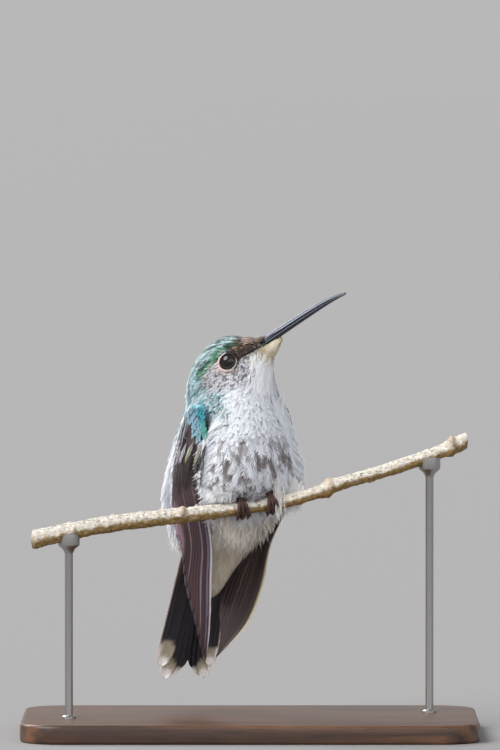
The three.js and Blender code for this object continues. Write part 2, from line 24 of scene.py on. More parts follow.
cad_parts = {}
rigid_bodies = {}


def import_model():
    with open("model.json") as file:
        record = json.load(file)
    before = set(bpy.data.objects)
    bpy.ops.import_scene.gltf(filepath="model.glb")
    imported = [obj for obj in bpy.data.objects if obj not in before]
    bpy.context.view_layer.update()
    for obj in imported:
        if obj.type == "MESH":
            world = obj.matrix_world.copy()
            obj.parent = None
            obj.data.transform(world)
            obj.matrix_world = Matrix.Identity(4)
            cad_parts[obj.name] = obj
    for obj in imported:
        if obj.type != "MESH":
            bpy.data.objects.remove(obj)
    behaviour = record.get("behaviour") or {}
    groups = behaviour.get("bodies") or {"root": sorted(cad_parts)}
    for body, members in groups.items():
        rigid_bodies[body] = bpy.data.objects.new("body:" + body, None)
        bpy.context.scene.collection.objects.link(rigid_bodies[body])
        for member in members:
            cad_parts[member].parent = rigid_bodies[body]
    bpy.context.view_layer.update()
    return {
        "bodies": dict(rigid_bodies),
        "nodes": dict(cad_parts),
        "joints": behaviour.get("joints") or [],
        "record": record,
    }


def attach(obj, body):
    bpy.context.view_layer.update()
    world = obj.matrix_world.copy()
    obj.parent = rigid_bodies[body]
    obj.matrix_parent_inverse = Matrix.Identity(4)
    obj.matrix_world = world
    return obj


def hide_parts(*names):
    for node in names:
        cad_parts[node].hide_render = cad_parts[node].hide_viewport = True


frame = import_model()

Array = np.ndarray
Piece = bpy.types.Object
Finish = bpy.types.Material
Chance = np.random.Generator
log = logging.getLogger("bird")
MM = 0.001

# ---------------------------------------------------------------- numbers and frames


def ease(low: float, high: float, value: Array | float) -> Array | float:
    """A smooth step of value from 0 at low to 1 at high; low may be the greater."""
    share = np.clip((np.asarray(value, float) - low) / (high - low), 0, 1)
    return share * share * (3 - 2 * share)


def mix(a: Array | float, b: Array | float, share: Array | float) -> Array | float:
    """The value a share of the way from a to b."""
    return a + (b - a) * share


def unit(vectors: Array) -> Array:
    """The vectors with length 1."""
    return vectors / np.maximum(np.linalg.norm(vectors, axis=-1, keepdims=True), 1e-9)


def moved(points: Array, matrix: Matrix) -> Array:
    """Points of any shape (..., 3), moved by a 4x4 matrix."""
    m = np.array(matrix)
    return points @ m[:3, :3].T + m[:3, 3]


def turned(vectors: Array, matrix: Matrix) -> Array:
    """Directions turned by a matrix, with no shift."""
    return vectors @ np.array(matrix)[:3, :3].T


def cloud(points: Array, size: float, shift: float = 0.0) -> Array:
    """Smooth noise between about -1 and 1, with lumps of a size in mm.

    Args:
        points: places (N, 3) in mm.
        size: the size of a lump.
        shift: moves the pattern, so that two of one size differ.

    Returns:
        One value for each place.
    """
    return np.array([noise.noise(Vector(p / size + shift)) for p in points])


def linear(code: str) -> Array:
    """The linear RGB of an sRGB hex colour."""
    parts = np.array([int(code[i : i + 2], 16) / 255 for i in (1, 3, 5)])
    return np.where(parts <= 0.04045, parts / 12.92, ((parts + 0.055) / 1.055) ** 2.4)


def toned(tone: Array, code: str, share: Array) -> Array:
    """Colours (..., 3) with shares of a hex colour laid over them."""
    return mix(tone, linear(code), np.asarray(share)[..., None])


def rgba(code: str) -> tuple[float, float, float, float]:
    """The linear RGBA of an sRGB hex colour."""
    return (*linear(code), 1.0)


class Line:
    """A smooth line through table rows of any number of columns, evenly spread over 0 to 1."""

    def __init__(self, rows: Sequence[Sequence[float]]) -> None:
        """Keeps the rows, with one more in line past each end."""
        p = np.array(rows, float)
        self.count = len(p)
        self.rows = np.vstack([2 * p[0] - p[1], p, 2 * p[-1] - p[-2]])

    def at(self, t: Array | float) -> Array:
        """The row at each share t of the line, by a centripetal spline."""
        x = np.clip(np.asarray(t, float), 0, 1) * (self.count - 1)
        i = np.minimum(x.astype(int), self.count - 2)
        w = (x - i)[..., None]
        a, b, c, d = (self.rows[i + k] for k in range(4))
        gap = [
            np.maximum(np.linalg.norm((q - p)[..., :3], axis=-1, keepdims=True), 1e-3) ** 0.5
            for p, q in ((a, b), (b, c), (c, d))
        ]
        start = ((b - a) / gap[0] - (c - a) / (gap[0] + gap[1]) + (c - b) / gap[1]) * gap[1]
        end = ((c - b) / gap[1] - (d - b) / (gap[1] + gap[2]) + (d - c) / gap[2]) * gap[1]
        square = 3 * (c - b) - 2 * start - end
        cube = 2 * (b - c) + start + end
        return b + w * (start + w * (square + w * cube))


BIRD = Matrix.Translation((-3.7, 8.8, 0)) @ Matrix.Rotation(math.radians(28), 4, "Z")
HEAD = (
    Matrix.Translation((-1.6, -0.6, 76.8))
    @ Matrix.Rotation(math.radians(50), 4, "Z")
    @ Matrix.Rotation(math.radians(-33), 4, "X")
)  # in the bird's frame
TO_HEAD = HEAD.inverted()
TO_BIRD = BIRD.inverted()
FORWARD = turned(np.array([0.0, -1.0, 0.0]), HEAD)  # the way the bill points
EYE = {"radius": 2.3, "side": 4.5, "forward": 2.1, "up": 0.7}
TWIG_TURN = math.radians(12)
TWIG = Line(
    [
        [-46.5, 41.6, 1.95], [-31.5, 44.5, 1.75], [-15.2, 46.3, 1.65], [-2.0, 47.7, 1.4], [8.0, 49.2, 1.4],
        [15.2, 51.1, 1.45], [17.0, 51.8, 1.85], [18.8, 52.5, 1.5], [31.5, 56.0, 1.45], [41.8, 59.5, 1.55],
        [43.6, 60.2, 1.9], [46.8, 61.5, 1.65]
    ]
)  # along, height, radius
TWIG_STEPS = TWIG.at(np.linspace(0, 1, 400))


def twig_at(x: Array | float) -> tuple[Array, Array]:
    """The twig's middle in world axes and its radius, at a distance along X."""
    along = np.asarray(x, float) / math.cos(TWIG_TURN)
    height, radius = (np.interp(along, TWIG_STEPS[:, 0], TWIG_STEPS[:, k]) for k in (1, 2))
    return np.stack([np.asarray(x, float), along * math.sin(TWIG_TURN), height], -1), radius


# ---------------------------------------------------------------- materials

Socket = bpy.types.NodeSocket


def add_node(tree: bpy.types.NodeTree, kind: str, settings: dict | None = None) -> bpy.types.Node:
    """Adds a node.

    Args:
        tree: the node tree it goes into.
        kind: the node's type, without the ShaderNode that they all start with.
        settings: values, or sockets to link, by input name or number; a name that starts with a
            dot is a property.

    Returns:
        The new node.
    """
    made = tree.nodes.new("ShaderNode" + kind)
    for name, value in (settings or {}).items():
        if isinstance(value, Socket):
            tree.links.new(value, made.inputs[name])
        elif isinstance(name, str) and name.startswith("."):
            setattr(made, name[1:], value)
        else:
            made.inputs[name].default_value = value
    return made


class Recipe:
    """A node material in the making: each method adds one step and gives its result."""

    def __init__(self, name: str) -> None:
        """Starts an empty material."""
        self.material = bpy.data.materials.new(name)
        self.material.use_nodes = True
        self.tree = self.material.node_tree
        self.tree.nodes.clear()
        self.here: Socket | None = None

    def add(self, kind: str, output: str | int, **settings: Socket | float) -> Socket:
        """Adds a node whose input names are plain words, and gives one of its outputs."""
        return add_node(self.tree, kind, settings).outputs[output]

    def read(self, name: str, output: str = "Fac") -> Socket:
        """A number, or with output Color a colour, that the mesh carries."""
        return add_node(self.tree, "Attribute", {".attribute_name": name}).outputs[output]

    def place(self) -> Socket:
        """Places on the piece."""
        if self.here is None:
            self.here = self.add("TexCoord", "Object")
        return self.here

    def drawn(self, scale: tuple, turn: tuple = (0, 0, 0)) -> Socket:
        """Places on the piece, squeezed by a scale so that a pattern is drawn out, and turned."""
        settings = {"Vector": self.place(), "Scale": scale, "Rotation": turn}
        return add_node(self.tree, "Mapping", settings).outputs["Vector"]

    def noise(
        self, lump: float, detail: float = 2.0, rough: float = 0.5, at: Socket | None = None
    ) -> Socket:
        """Noise with lumps of a size in mm, at places on the piece unless others are given."""
        spot, scale = at or self.place(), 1 / (lump * MM)
        return self.add("TexNoise", "Fac", Scale=scale, Detail=detail, Roughness=rough, Vector=spot)

    def ranged(
        self, value: Socket, low: float, high: float, start: float = 0.0, end: float = 1.0
    ) -> Socket:
        """A value brought from between start and end to between low and high."""
        settings = {"Value": value, "From Min": start, "From Max": end, "To Min": low, "To Max": high}
        return add_node(self.tree, "MapRange", settings).outputs["Result"]

    def blend(self, share: Socket, low: Socket | str, high: Socket | str) -> Socket:
        """The colour a share of the way from one to another, each a socket or a hex code."""
        ends = [rgba(colour) if isinstance(colour, str) else colour for colour in (low, high)]
        settings = {".data_type": "RGBA", 0: share, 6: ends[0], 7: ends[1]}
        return add_node(self.tree, "Mix", settings).outputs[2]

    def scaled(self, colour: Socket, share: Socket) -> Socket:
        """A colour made lighter or darker."""
        settings = {".operation": "SCALE", 0: colour, "Scale": share}
        return add_node(self.tree, "VectorMath", settings).outputs["Vector"]

    def maths(self, operation: str, *values: Socket | float, clamp: bool = False) -> Socket:
        """Plain arithmetic."""
        settings = {".operation": operation, ".use_clamp": clamp, **dict(enumerate(values))}
        return add_node(self.tree, "Math", settings).outputs["Value"]

    def bump(self, height: Socket, strength: float, depth: float) -> Socket:
        """Relief of a depth in mm."""
        return self.add("Bump", "Normal", Height=height, Strength=strength, Distance=depth * MM)

    def finish(self, settings: dict) -> Finish:
        """Ends with a Principled shader of these settings and the output."""
        shader = add_node(self.tree, "BsdfPrincipled", settings)
        add_node(self.tree, "OutputMaterial", {"Surface": shader.outputs[0]})
        return self.material


@dataclass(frozen=True)
class Plumage:
    """Contour feathers: keratin barbs, matt where they are white and bright where they are green.

    The colour of each feather comes with its mesh, worked out from where it grows. The finish adds
    barbs at their own scale and the metallic gloss of the green ones.
    """

    name: str = "feather_barbs"
    barb: float = 0.22  # mm between barbs, drawn twice as coarse as real ones to show
    rough: tuple[float, float] = (0.88, 0.36)  # matt and glossy
    metal: float = 0.55

    def material(self) -> Finish:
        """The finish as a node material."""
        make = Recipe(self.name)
        tint, shine = make.read("tint", "Color"), make.read("shine")
        grain = make.noise(self.barb, 2.0, 0.6)
        return make.finish(
            {
                "Base Color": make.scaled(tint, make.ranged(grain, 0.92, 1.06, 0.25, 0.75)),
                "Roughness": make.ranged(shine, *self.rough),
                "Metallic": make.maths("MULTIPLY", shine, self.metal),
                "Normal": make.bump(grain, 0.2, 0.05), "Sheen Weight": 0.25, "Sheen Roughness": 0.5,
                "Specular IOR Level": 0.35
            }
        )


@dataclass(frozen=True)
class FlightVane:
    """Flight and tail feathers: stiff keratin vanes, satin, ribbed by their barbs.

    The barbs run slanting from the shaft in fine slanting ribs of relief, and the colour is painted
    lighter and darker along them: the barbs' own tone, and a painted sheen.
    """

    name: str = "flight_vane"
    barb: float = 0.3  # mm between ribs, drawn coarser than real barbs to show
    rough: float = 0.42

    def material(self) -> Finish:
        """The finish as a node material."""
        make = Recipe(self.name)
        tint, rib = make.read("tint", "Color"), make.read("rib")
        settings = {".noise_dimensions": "1D", "Scale": 1.0, "Detail": 2.0, "Roughness": 0.7}
        settings["W"] = make.maths("MULTIPLY", rib, 1 / self.barb)
        ribs = add_node(make.tree, "TexNoise", settings).outputs["Fac"]
        # The colour is scaled along the ribs: the barbs' own tone, and a painted sheen.
        return make.finish(
            {
                "Base Color": make.scaled(tint, make.ranged(ribs, 0.72, 1.35, 0.3, 0.7)),
                "Roughness": self.rough, "Normal": make.bump(ribs, 0.5, 0.06), "Sheen Weight": 0.15,
                "Sheen Tint": rgba("#b9a8d8")
            }
        )


@dataclass(frozen=True)
class BillHorn:
    """Bill sheath: smooth grown keratin, near black, polished enough for a long highlight."""

    name: str = "bill_horn"
    dark: str = "#0d0d11"
    light: str = "#202129"
    streak: float = 0.4  # mm between growth streaks along the bill

    def material(self) -> Finish:
        """The finish as a node material."""
        make = Recipe(self.name)
        grain = make.noise(self.streak, 3.0, at=make.drawn((0.25, 1.0, 1.0), (0, math.radians(31), 0)))
        return make.finish(
            {
                "Base Color": make.blend(grain, self.dark, self.light),
                "Roughness": make.ranged(grain, 0.22, 0.28), "Normal": make.bump(grain, 0.02, 0.03),
                "IOR": 1.56, "Specular IOR Level": 0.9, "Specular Tint": rgba("#dfe8ff")
            }
        )


@dataclass(frozen=True)
class GlassEye:
    """Dark glass eye: a brown-black iris round a black pupil, under a clear polished coat."""

    name: str = "eye_glass"
    pupil: str = "#050405"
    iris: str = "#1a0f0d"

    def material(self) -> Finish:
        """The finish as a node material; ring is the share of a right angle from the eye's axis."""
        make = Recipe(self.name)
        settings = {".interpolation_type": "SMOOTHSTEP", "From Min": 0.24, "From Max": 0.34}
        settings["Value"] = make.read("ring")
        iris = add_node(make.tree, "MapRange", settings).outputs["Result"]
        return make.finish(
            {
                "Base Color": make.blend(iris, self.pupil, self.iris), "Roughness": 0.12, "IOR": 1.38,
                "Specular IOR Level": 0.1, "Coat Weight": 1.0, "Coat Roughness": 0.02, "Coat IOR": 1.5
            }
        )


@dataclass(frozen=True)
class ScaledSkin:
    """Bare skin of toes and lids: small dry scales with darker creases, faintly waxy."""

    name: str
    high: str
    low: str
    scale: float = 0.22  # mm across a scale

    def material(self) -> Finish:
        """The finish as a node material."""
        make = Recipe(self.name)
        settings = {".feature": "DISTANCE_TO_EDGE", "Scale": 1 / (self.scale * 2 * MM)}
        settings["Vector"] = make.place()
        cells = add_node(make.tree, "TexVoronoi", settings).outputs["Distance"]
        crease = make.ranged(cells, 0.0, 1.0, 0.0, 0.16)
        colour, normal = make.blend(crease, self.low, self.high), make.bump(crease, 0.5, 0.05)
        settings = {"Roughness": 0.55, "Specular IOR Level": 0.4}
        return make.finish({"Base Color": colour, "Normal": normal, **settings})


@dataclass(frozen=True)
class TwigBark:
    """Thin bark of a twig: olive to orange-brown below, and pale grey-beige above, painted light where the
    top is lit.
    """

    name: str = "twig_bark"
    # Painted light: the pale tone of the lit top.
    pale: str = "#e8e3d9"
    olive: str = "#a48d52"
    brown: str = "#7d5a30"
    pit: str = "#3d3122"

    def material(self) -> Finish:
        """The finish as a node material; the mesh's underside share is 0 on the top, which is painted pale
        as lit, and 1 underneath.
        """
        make = Recipe(self.name)
        long = make.drawn((0.5, 1.0, 1.0), (0, 0, -TWIG_TURN))
        fibre = make.noise(0.45, 4.0, 0.65, long)
        fleck = make.noise(0.7)
        spread = make.maths("MULTIPLY_ADD", make.maths("MULTIPLY", fibre, fleck), 2.6, -0.55)
        # The underside share, with fibre and flecks, picks olive to brown below and the painted pale of
        # the lit top above.
        under_share = make.maths("ADD", make.read("underside"), spread, clamp=True)
        coat = make.blend(under_share, self.pale, make.blend(fleck, self.olive, self.brown))
        worn = make.scaled(coat, make.ranged(fibre, 0.62, 1.08, 0.32, 0.62))
        settings = {".data_type": "RGBA", ".blend_type": "MULTIPLY", 0: 1.0, 6: worn}
        settings[7] = make.read("tint", "Color")
        bare = add_node(make.tree, "Mix", settings).outputs[2]
        pits = make.ranged(make.noise(0.32, 3.0, 0.7, long), 0.0, 1.0, 0.58, 0.68)
        relief = make.bump(make.maths("SUBTRACT", fibre, pits), 0.9, 0.16)
        colour = make.blend(pits, bare, self.pit)
        return make.finish({"Base Color": colour, "Roughness": 0.85, "Normal": relief})


@dataclass(frozen=True)
class OiledWalnut:
    """Oiled walnut base: planed, its grain running along it, with open pores."""

    name: str = "oiled_walnut"
    light: str = "#6d4a32"
    dark: str = "#3a2518"
    rings: float = 0.16  # bands to each 2 mm

    def material(self) -> Finish:
        """The finish as a node material."""
        make = Recipe(self.name)
        grain = make.drawn((0.06, 1.0, 1.0))
        settings = {".bands_direction": "Y", "Scale": self.rings / MM / 2, "Distortion": 9.0}
        settings.update({"Detail": 3.0, "Detail Scale": 1.4, "Vector": grain})
        rings = add_node(make.tree, "TexWave", settings).outputs["Fac"]
        pores = make.noise(0.35, at=grain)
        shade = make.ranged(pores, 0.7, 1.08, 0.35, 0.6)
        return make.finish(
            {
                "Base Color": make.scaled(make.blend(rings, self.dark, self.light), shade),
                "Roughness": 0.42, "Normal": make.bump(pores, 0.25, 0.05), "Coat Weight": 0.15,
                "Coat Roughness": 0.3
            }
        )


@dataclass(frozen=True)
class BrushedSteel:
    """Stainless steel rod, turned and brushed round: fine rings that soften its reflections."""

    name: str = "brushed_steel"
    colour: str = "#a9a8a6"
    mark: float = 0.2  # mm between turning marks

    def material(self) -> Finish:
        """The finish as a node material."""
        make = Recipe(self.name)
        marks = make.noise(self.mark, at=make.drawn((0.1, 0.1, 1.0)))
        rough, relief = make.ranged(marks, 0.24, 0.42), make.bump(marks, 0.1, 0.02)
        settings = {"Base Color": rgba(self.colour), "Metallic": 1.0}
        return make.finish({"Roughness": rough, "Normal": relief, **settings})


@dataclass(frozen=True)
class StudioPaper:
    """Matt card that the model is shown on: pale, even, with a faint tooth."""

    name: str = "studio_card"
    colour: str = "#949393"

    def material(self) -> Finish:
        """The finish as a node material."""
        make = Recipe(self.name)
        tooth = make.bump(make.noise(0.8), 0.05, 0.05)
        return make.finish({"Base Color": rgba(self.colour), "Roughness": 0.9, "Normal": tooth})


# ---------------------------------------------------------------- making pieces


def keep(piece: Piece, material: Finish, slot: str, *replaced: str) -> Piece:
    """Dresses a finished piece and ties it to the frame.

    Args:
        piece: the finished object, at the origin.
        material: its one material.
        slot: the record's material slot; not used.
        replaced: names of the CAD nodes that it stands for.

    Returns:
        The same object.
    """
    piece.data.materials.clear()
    piece.data.materials.append(material)
    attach(piece, "root")
    if replaced:
        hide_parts(*replaced)
    faces = sum(len(p.vertices) - 2 for p in piece.data.polygons)
    log.info("%s: %d triangles", piece.name, faces)
    return piece


def mesh_of(
    name: str, points: Array, quads: Array, colours: dict[str, Array] | None = None,
    values: dict[str, Array] | None = None, places: Array | None = None, normals: Array | None = None
) -> Piece:
    """Makes an object of four-sided faces from arrays.

    Args:
        name: the object's name.
        points: (N, 3) in mm, in the world's axes.
        quads: (M, 4) point numbers.
        colours: linear RGB (N, 3) by attribute name.
        values: numbers (N,) by attribute name.
        places: (N, 2), where each point lies on the map for baking.
        normals: (N, 3), if the shading is to follow these.

    Returns:
        The new object, smooth shaded.
    """
    mesh = bpy.data.meshes.new(name)
    mesh.vertices.add(len(points))
    mesh.vertices.foreach_set("co", (points * MM).astype(np.float32).ravel())
    mesh.loops.add(quads.size)
    mesh.loops.foreach_set("vertex_index", quads.astype(np.int32).ravel())
    mesh.polygons.add(len(quads))
    mesh.polygons.foreach_set("loop_start", np.arange(0, quads.size, 4, dtype=np.int32))
    mesh.update(calc_edges=True)
    mesh.shade_smooth()
    set_attributes(mesh, colours or {}, values or {})
    if places is not None:
        layer = mesh.uv_layers.new(name="OFBake")
        layer.data.foreach_set("uv", places[quads.ravel()].astype(np.float32).ravel())
    if normals is not None:
        mesh.normals_split_custom_set_from_vertices(normals.tolist())
    piece = bpy.data.objects.new(name, mesh)
    bpy.context.scene.collection.objects.link(piece)
    return piece


def set_attributes(mesh: bpy.types.Mesh, colours: dict, values: dict) -> None:
    """Writes colours (N, 3) and numbers (N,) to a mesh's points, by attribute name."""
    for key, data in colours.items():
        full = np.column_stack([data, np.ones(len(data))]).astype(np.float32)
        made = mesh.attributes.new(key, "FLOAT_COLOR", "POINT")
        made.data.foreach_set("color", full.ravel())
    for key, data in values.items():
        made = mesh.attributes.new(key, "FLOAT", "POINT")
        made.data.foreach_set("value", np.asarray(data, np.float32).ravel())


def clear_bench() -> None:
    """Goes to object mode with nothing selected."""
    if bpy.context.mode != "OBJECT":
        bpy.ops.object.mode_set(mode="OBJECT")
    bpy.ops.object.select_all(action="DESELECT")


def take(*pieces: Piece) -> None:
    """Selects these pieces alone, with the first as the active one."""
    clear_bench()
    for piece in pieces:
        piece.select_set(True)
    bpy.context.view_layer.objects.active = pieces[0]


def fresh(name: str) -> Piece:
    """Names the object that was just added."""
    piece = bpy.context.object
    piece.name = piece.data.name = name
    return piece


@contextmanager
def editing() -> Iterator[None]:
    """Edit mode for the steps inside."""
    bpy.ops.object.mode_set(mode="EDIT")
    yield
    bpy.ops.object.mode_set(mode="OBJECT")


def face_outwards() -> None:
    """Turns all faces outwards, in edit mode."""
    bpy.ops.mesh.select_all(action="SELECT")
    bpy.ops.mesh.normals_make_consistent(inside=False)


def apply_modifiers(piece: Piece) -> None:
    """Applies all modifiers of a piece."""
    take(piece)
    for modifier in list(piece.modifiers):
        bpy.ops.object.modifier_apply(modifier=modifier.name)


def set_down(piece: Piece, matrix: Matrix) -> None:
    """Moves a piece by a matrix in mm, and leaves its object at the origin."""
    shift = Matrix.Translation(matrix.to_translation() * MM)
    piece.matrix_world = shift @ matrix.to_3x3().to_4x4()
    take(piece)
    bpy.ops.object.transform_apply(location=True, rotation=True, scale=True)


@dataclass
class Ring:
    """One ring of a drawn bar: its centre and its half sizes, in mm."""

    centre: tuple[float, float, float]
    across: float
    up: float


def drawn_bar(name: str, sides: int, rings: Sequence[Ring], flat: float = 0.0) -> Piece:
    """Draws a bar along X: a filled circle is extruded from ring to ring and sized at each.

    Args:
        name: the new object's name.
        sides: points round a ring.
        rings: the rings in order.
        flat: share of its depth that the lower half keeps, if it is squashed; negative squashes
            the upper half.

    Returns:
        The bar, with closed ends and faces outwards.
    """
    clear_bench()
    first = rings[0]
    bpy.ops.mesh.primitive_circle_add(
        vertices=sides, radius=MM, fill_type="NGON", location=Vector(first.centre) * MM,
        rotation=(0, math.pi / 2, 0)
    )
    piece = fresh(name)
    bpy.ops.object.transform_apply(location=True, rotation=True, scale=True)
    middle = Vector(first.centre) * MM
    with editing():
        bpy.ops.transform.resize(value=(1, first.across, first.up), center_override=middle)
    if flat:
        for vertex in piece.data.vertices:
            height = vertex.co.z - middle.z
            if height * flat < 0:
                vertex.co.z = middle.z + height * abs(flat)
    with editing():
        bpy.ops.mesh.select_all(action="SELECT")
        for before, after in zip(rings, rings[1:]):
            step = (Vector(after.centre) - Vector(before.centre)) * MM
            bpy.ops.mesh.extrude_region_move(TRANSFORM_OT_translate={"value": step})
            size = (1, after.across / before.across, after.up / before.up)
            bpy.ops.transform.resize(value=size, center_override=Vector(after.centre) * MM)
        face_outwards()
    piece.data.shade_smooth()
    return piece


def points_of(piece: Piece) -> Array:
    """A mesh object's points in mm."""
    co = np.empty(len(piece.data.vertices) * 3, np.float32)
    piece.data.vertices.foreach_get("co", co)
    return co.reshape(-1, 3).astype(float) / MM


def set_points(piece: Piece, points: Array) -> None:
    """Moves a mesh object's points to these places in mm."""
    piece.data.vertices.foreach_set("co", (points * MM).astype(np.float32).ravel())
    piece.data.update()


# ---------------------------------------------------------------- what grows where


class Zone(Enum):
    """The parts of the coat, each with feathers of its own kind."""

    FACE = 0
    CROWN = 1
    CHIN = 2
    THROAT = 3
    BACK = 4
    BREAST = 5
    BELLY = 6
    FLANK = 7
    VENT = 8
    UNDERTAIL = 9


@dataclass(frozen=True)
class Plume:
    """One kind of contour feather. Sizes are in mm."""

    length: float
    half: float  # half its width
    barbs: int  # on each side of its shaft
    strand: float  # breadth of one barb
    spacing: float  # between neighbours
    proud: float = 0.1  # how far its tip stands out of the coat's surface
    follow: float = 0.85  # how closely it follows the body, from 0 to 1
    stray: float = 0.15  # how far it turns from the lie, in radians
    ragged: float = 0.1  # how unequal its barbs are


PLUMES = {
    Zone.FACE: Plume(0.95, 0.3, 4, 0.12, 0.34, proud=0.03, stray=0.14, ragged=0.1),
    Zone.CROWN: Plume(2.0, 0.36, 6, 0.12, 0.46, proud=0.08, stray=0.09, ragged=0.12),
    Zone.CHIN: Plume(1.8, 0.36, 5, 0.12, 0.45, proud=0.08, stray=0.14),
    Zone.THROAT: Plume(2.5, 0.55, 7, 0.14, 0.54, proud=0.04, stray=0.1, ragged=0.14),
    Zone.BACK: Plume(3.2, 1.05, 9, 0.22, 0.95, proud=0.1, stray=0.1, ragged=0.06),
    Zone.BREAST: Plume(4.0, 0.7, 8, 0.14, 0.7, proud=0.08, stray=0.14, ragged=0.17),
    Zone.BELLY: Plume(5.2, 0.8, 8, 0.13, 0.78, proud=0.4, stray=0.24, ragged=0.24),
    Zone.FLANK: Plume(5.4, 1.0, 8, 0.16, 0.9, proud=0.2, stray=0.16, ragged=0.18),
    Zone.VENT: Plume(4.6, 1.0, 10, 0.11, 0.85, proud=0.6, follow=0.6, stray=0.35, ragged=0.26),
    Zone.UNDERTAIL: Plume(5.4, 1.2, 9, 0.2, 1.0, proud=0.1, follow=0.7, stray=0.1, ragged=0.06)
}


class Ground:
    """Where a place on the bird is, in the measures that its markings and lie go by."""

    SLANT = unit(np.array([-0.21, 0.11, 0.97]))  # across the top of the neck
    SLANT_HEIGHT = 73.8 * SLANT[2]

    def __init__(self, points: Array) -> None:
        """Measures places (N, 3) in the bird's frame.

        Args:
            points: the places.
        """
        self.points = points
        x, y, self.height = points.T
        self.over_neck = points @ self.SLANT - self.SLANT_HEIGHT
        self.head = ease(-6.0, 0.5, self.over_neck)
        y = y - 9.5 * ease(50, 33, self.height)  # the rump lies back of the breast
        self.round = np.degrees(np.arctan2(x, -y))  # 0 in front, 90 at the left side
        self.rear = np.abs(self.round)
        side, back, up = moved(points, TO_HEAD).T
        self.fore, self.up, self.side = -back, up, np.abs(side)
        self.cap = self.up - (1.9 + 0.2 * (self.fore + 1.0)) + 0.9 * ease(2.0, 7.5, self.fore)
        self.eye = np.hypot(self.fore - EYE["forward"], self.up - EYE["up"])

    def zones(self) -> Array:
        """The number of the zone that each place is in."""
        z, rear = self.height, self.rear
        made = np.full(len(z), Zone.BELLY.value)
        made[(z > 54.5) & (rear < 90)] = Zone.BREAST.value
        made[(z > 63.5) & (rear < 100)] = Zone.THROAT.value
        speckled = (z > 66) & (rear < 78) & (rear > 30) & (self.over_neck < 0)
        made[(z < 57) & (rear > 58)] = Zone.FLANK.value
        made[(z > 46) & (rear > 112)] = Zone.BACK.value
        made[(z > 57) & (rear > 90)] = Zone.BACK.value
        made[(z < 46.5) & (rear < 115)] = Zone.VENT.value
        made[z < 38.5] = Zone.UNDERTAIL.value
        made[(z < 46.5) & (rear >= 115)] = Zone.BACK.value
        made[speckled] = Zone.FACE.value
        head = self.over_neck > -0.6
        made[head] = Zone.FACE.value
        made[head & (self.cap > 0) & (self.fore < 7.4)] = Zone.CROWN.value
        made[head & (self.fore < -4.5)] = Zone.CROWN.value
        made[head & (self.fore > 6.6) & (self.up < -1.2)] = Zone.CHIN.value
        made[head & (self.fore < 3.5) & (self.up < -5.0) & (self.fore > -3)] = Zone.THROAT.value
        return made


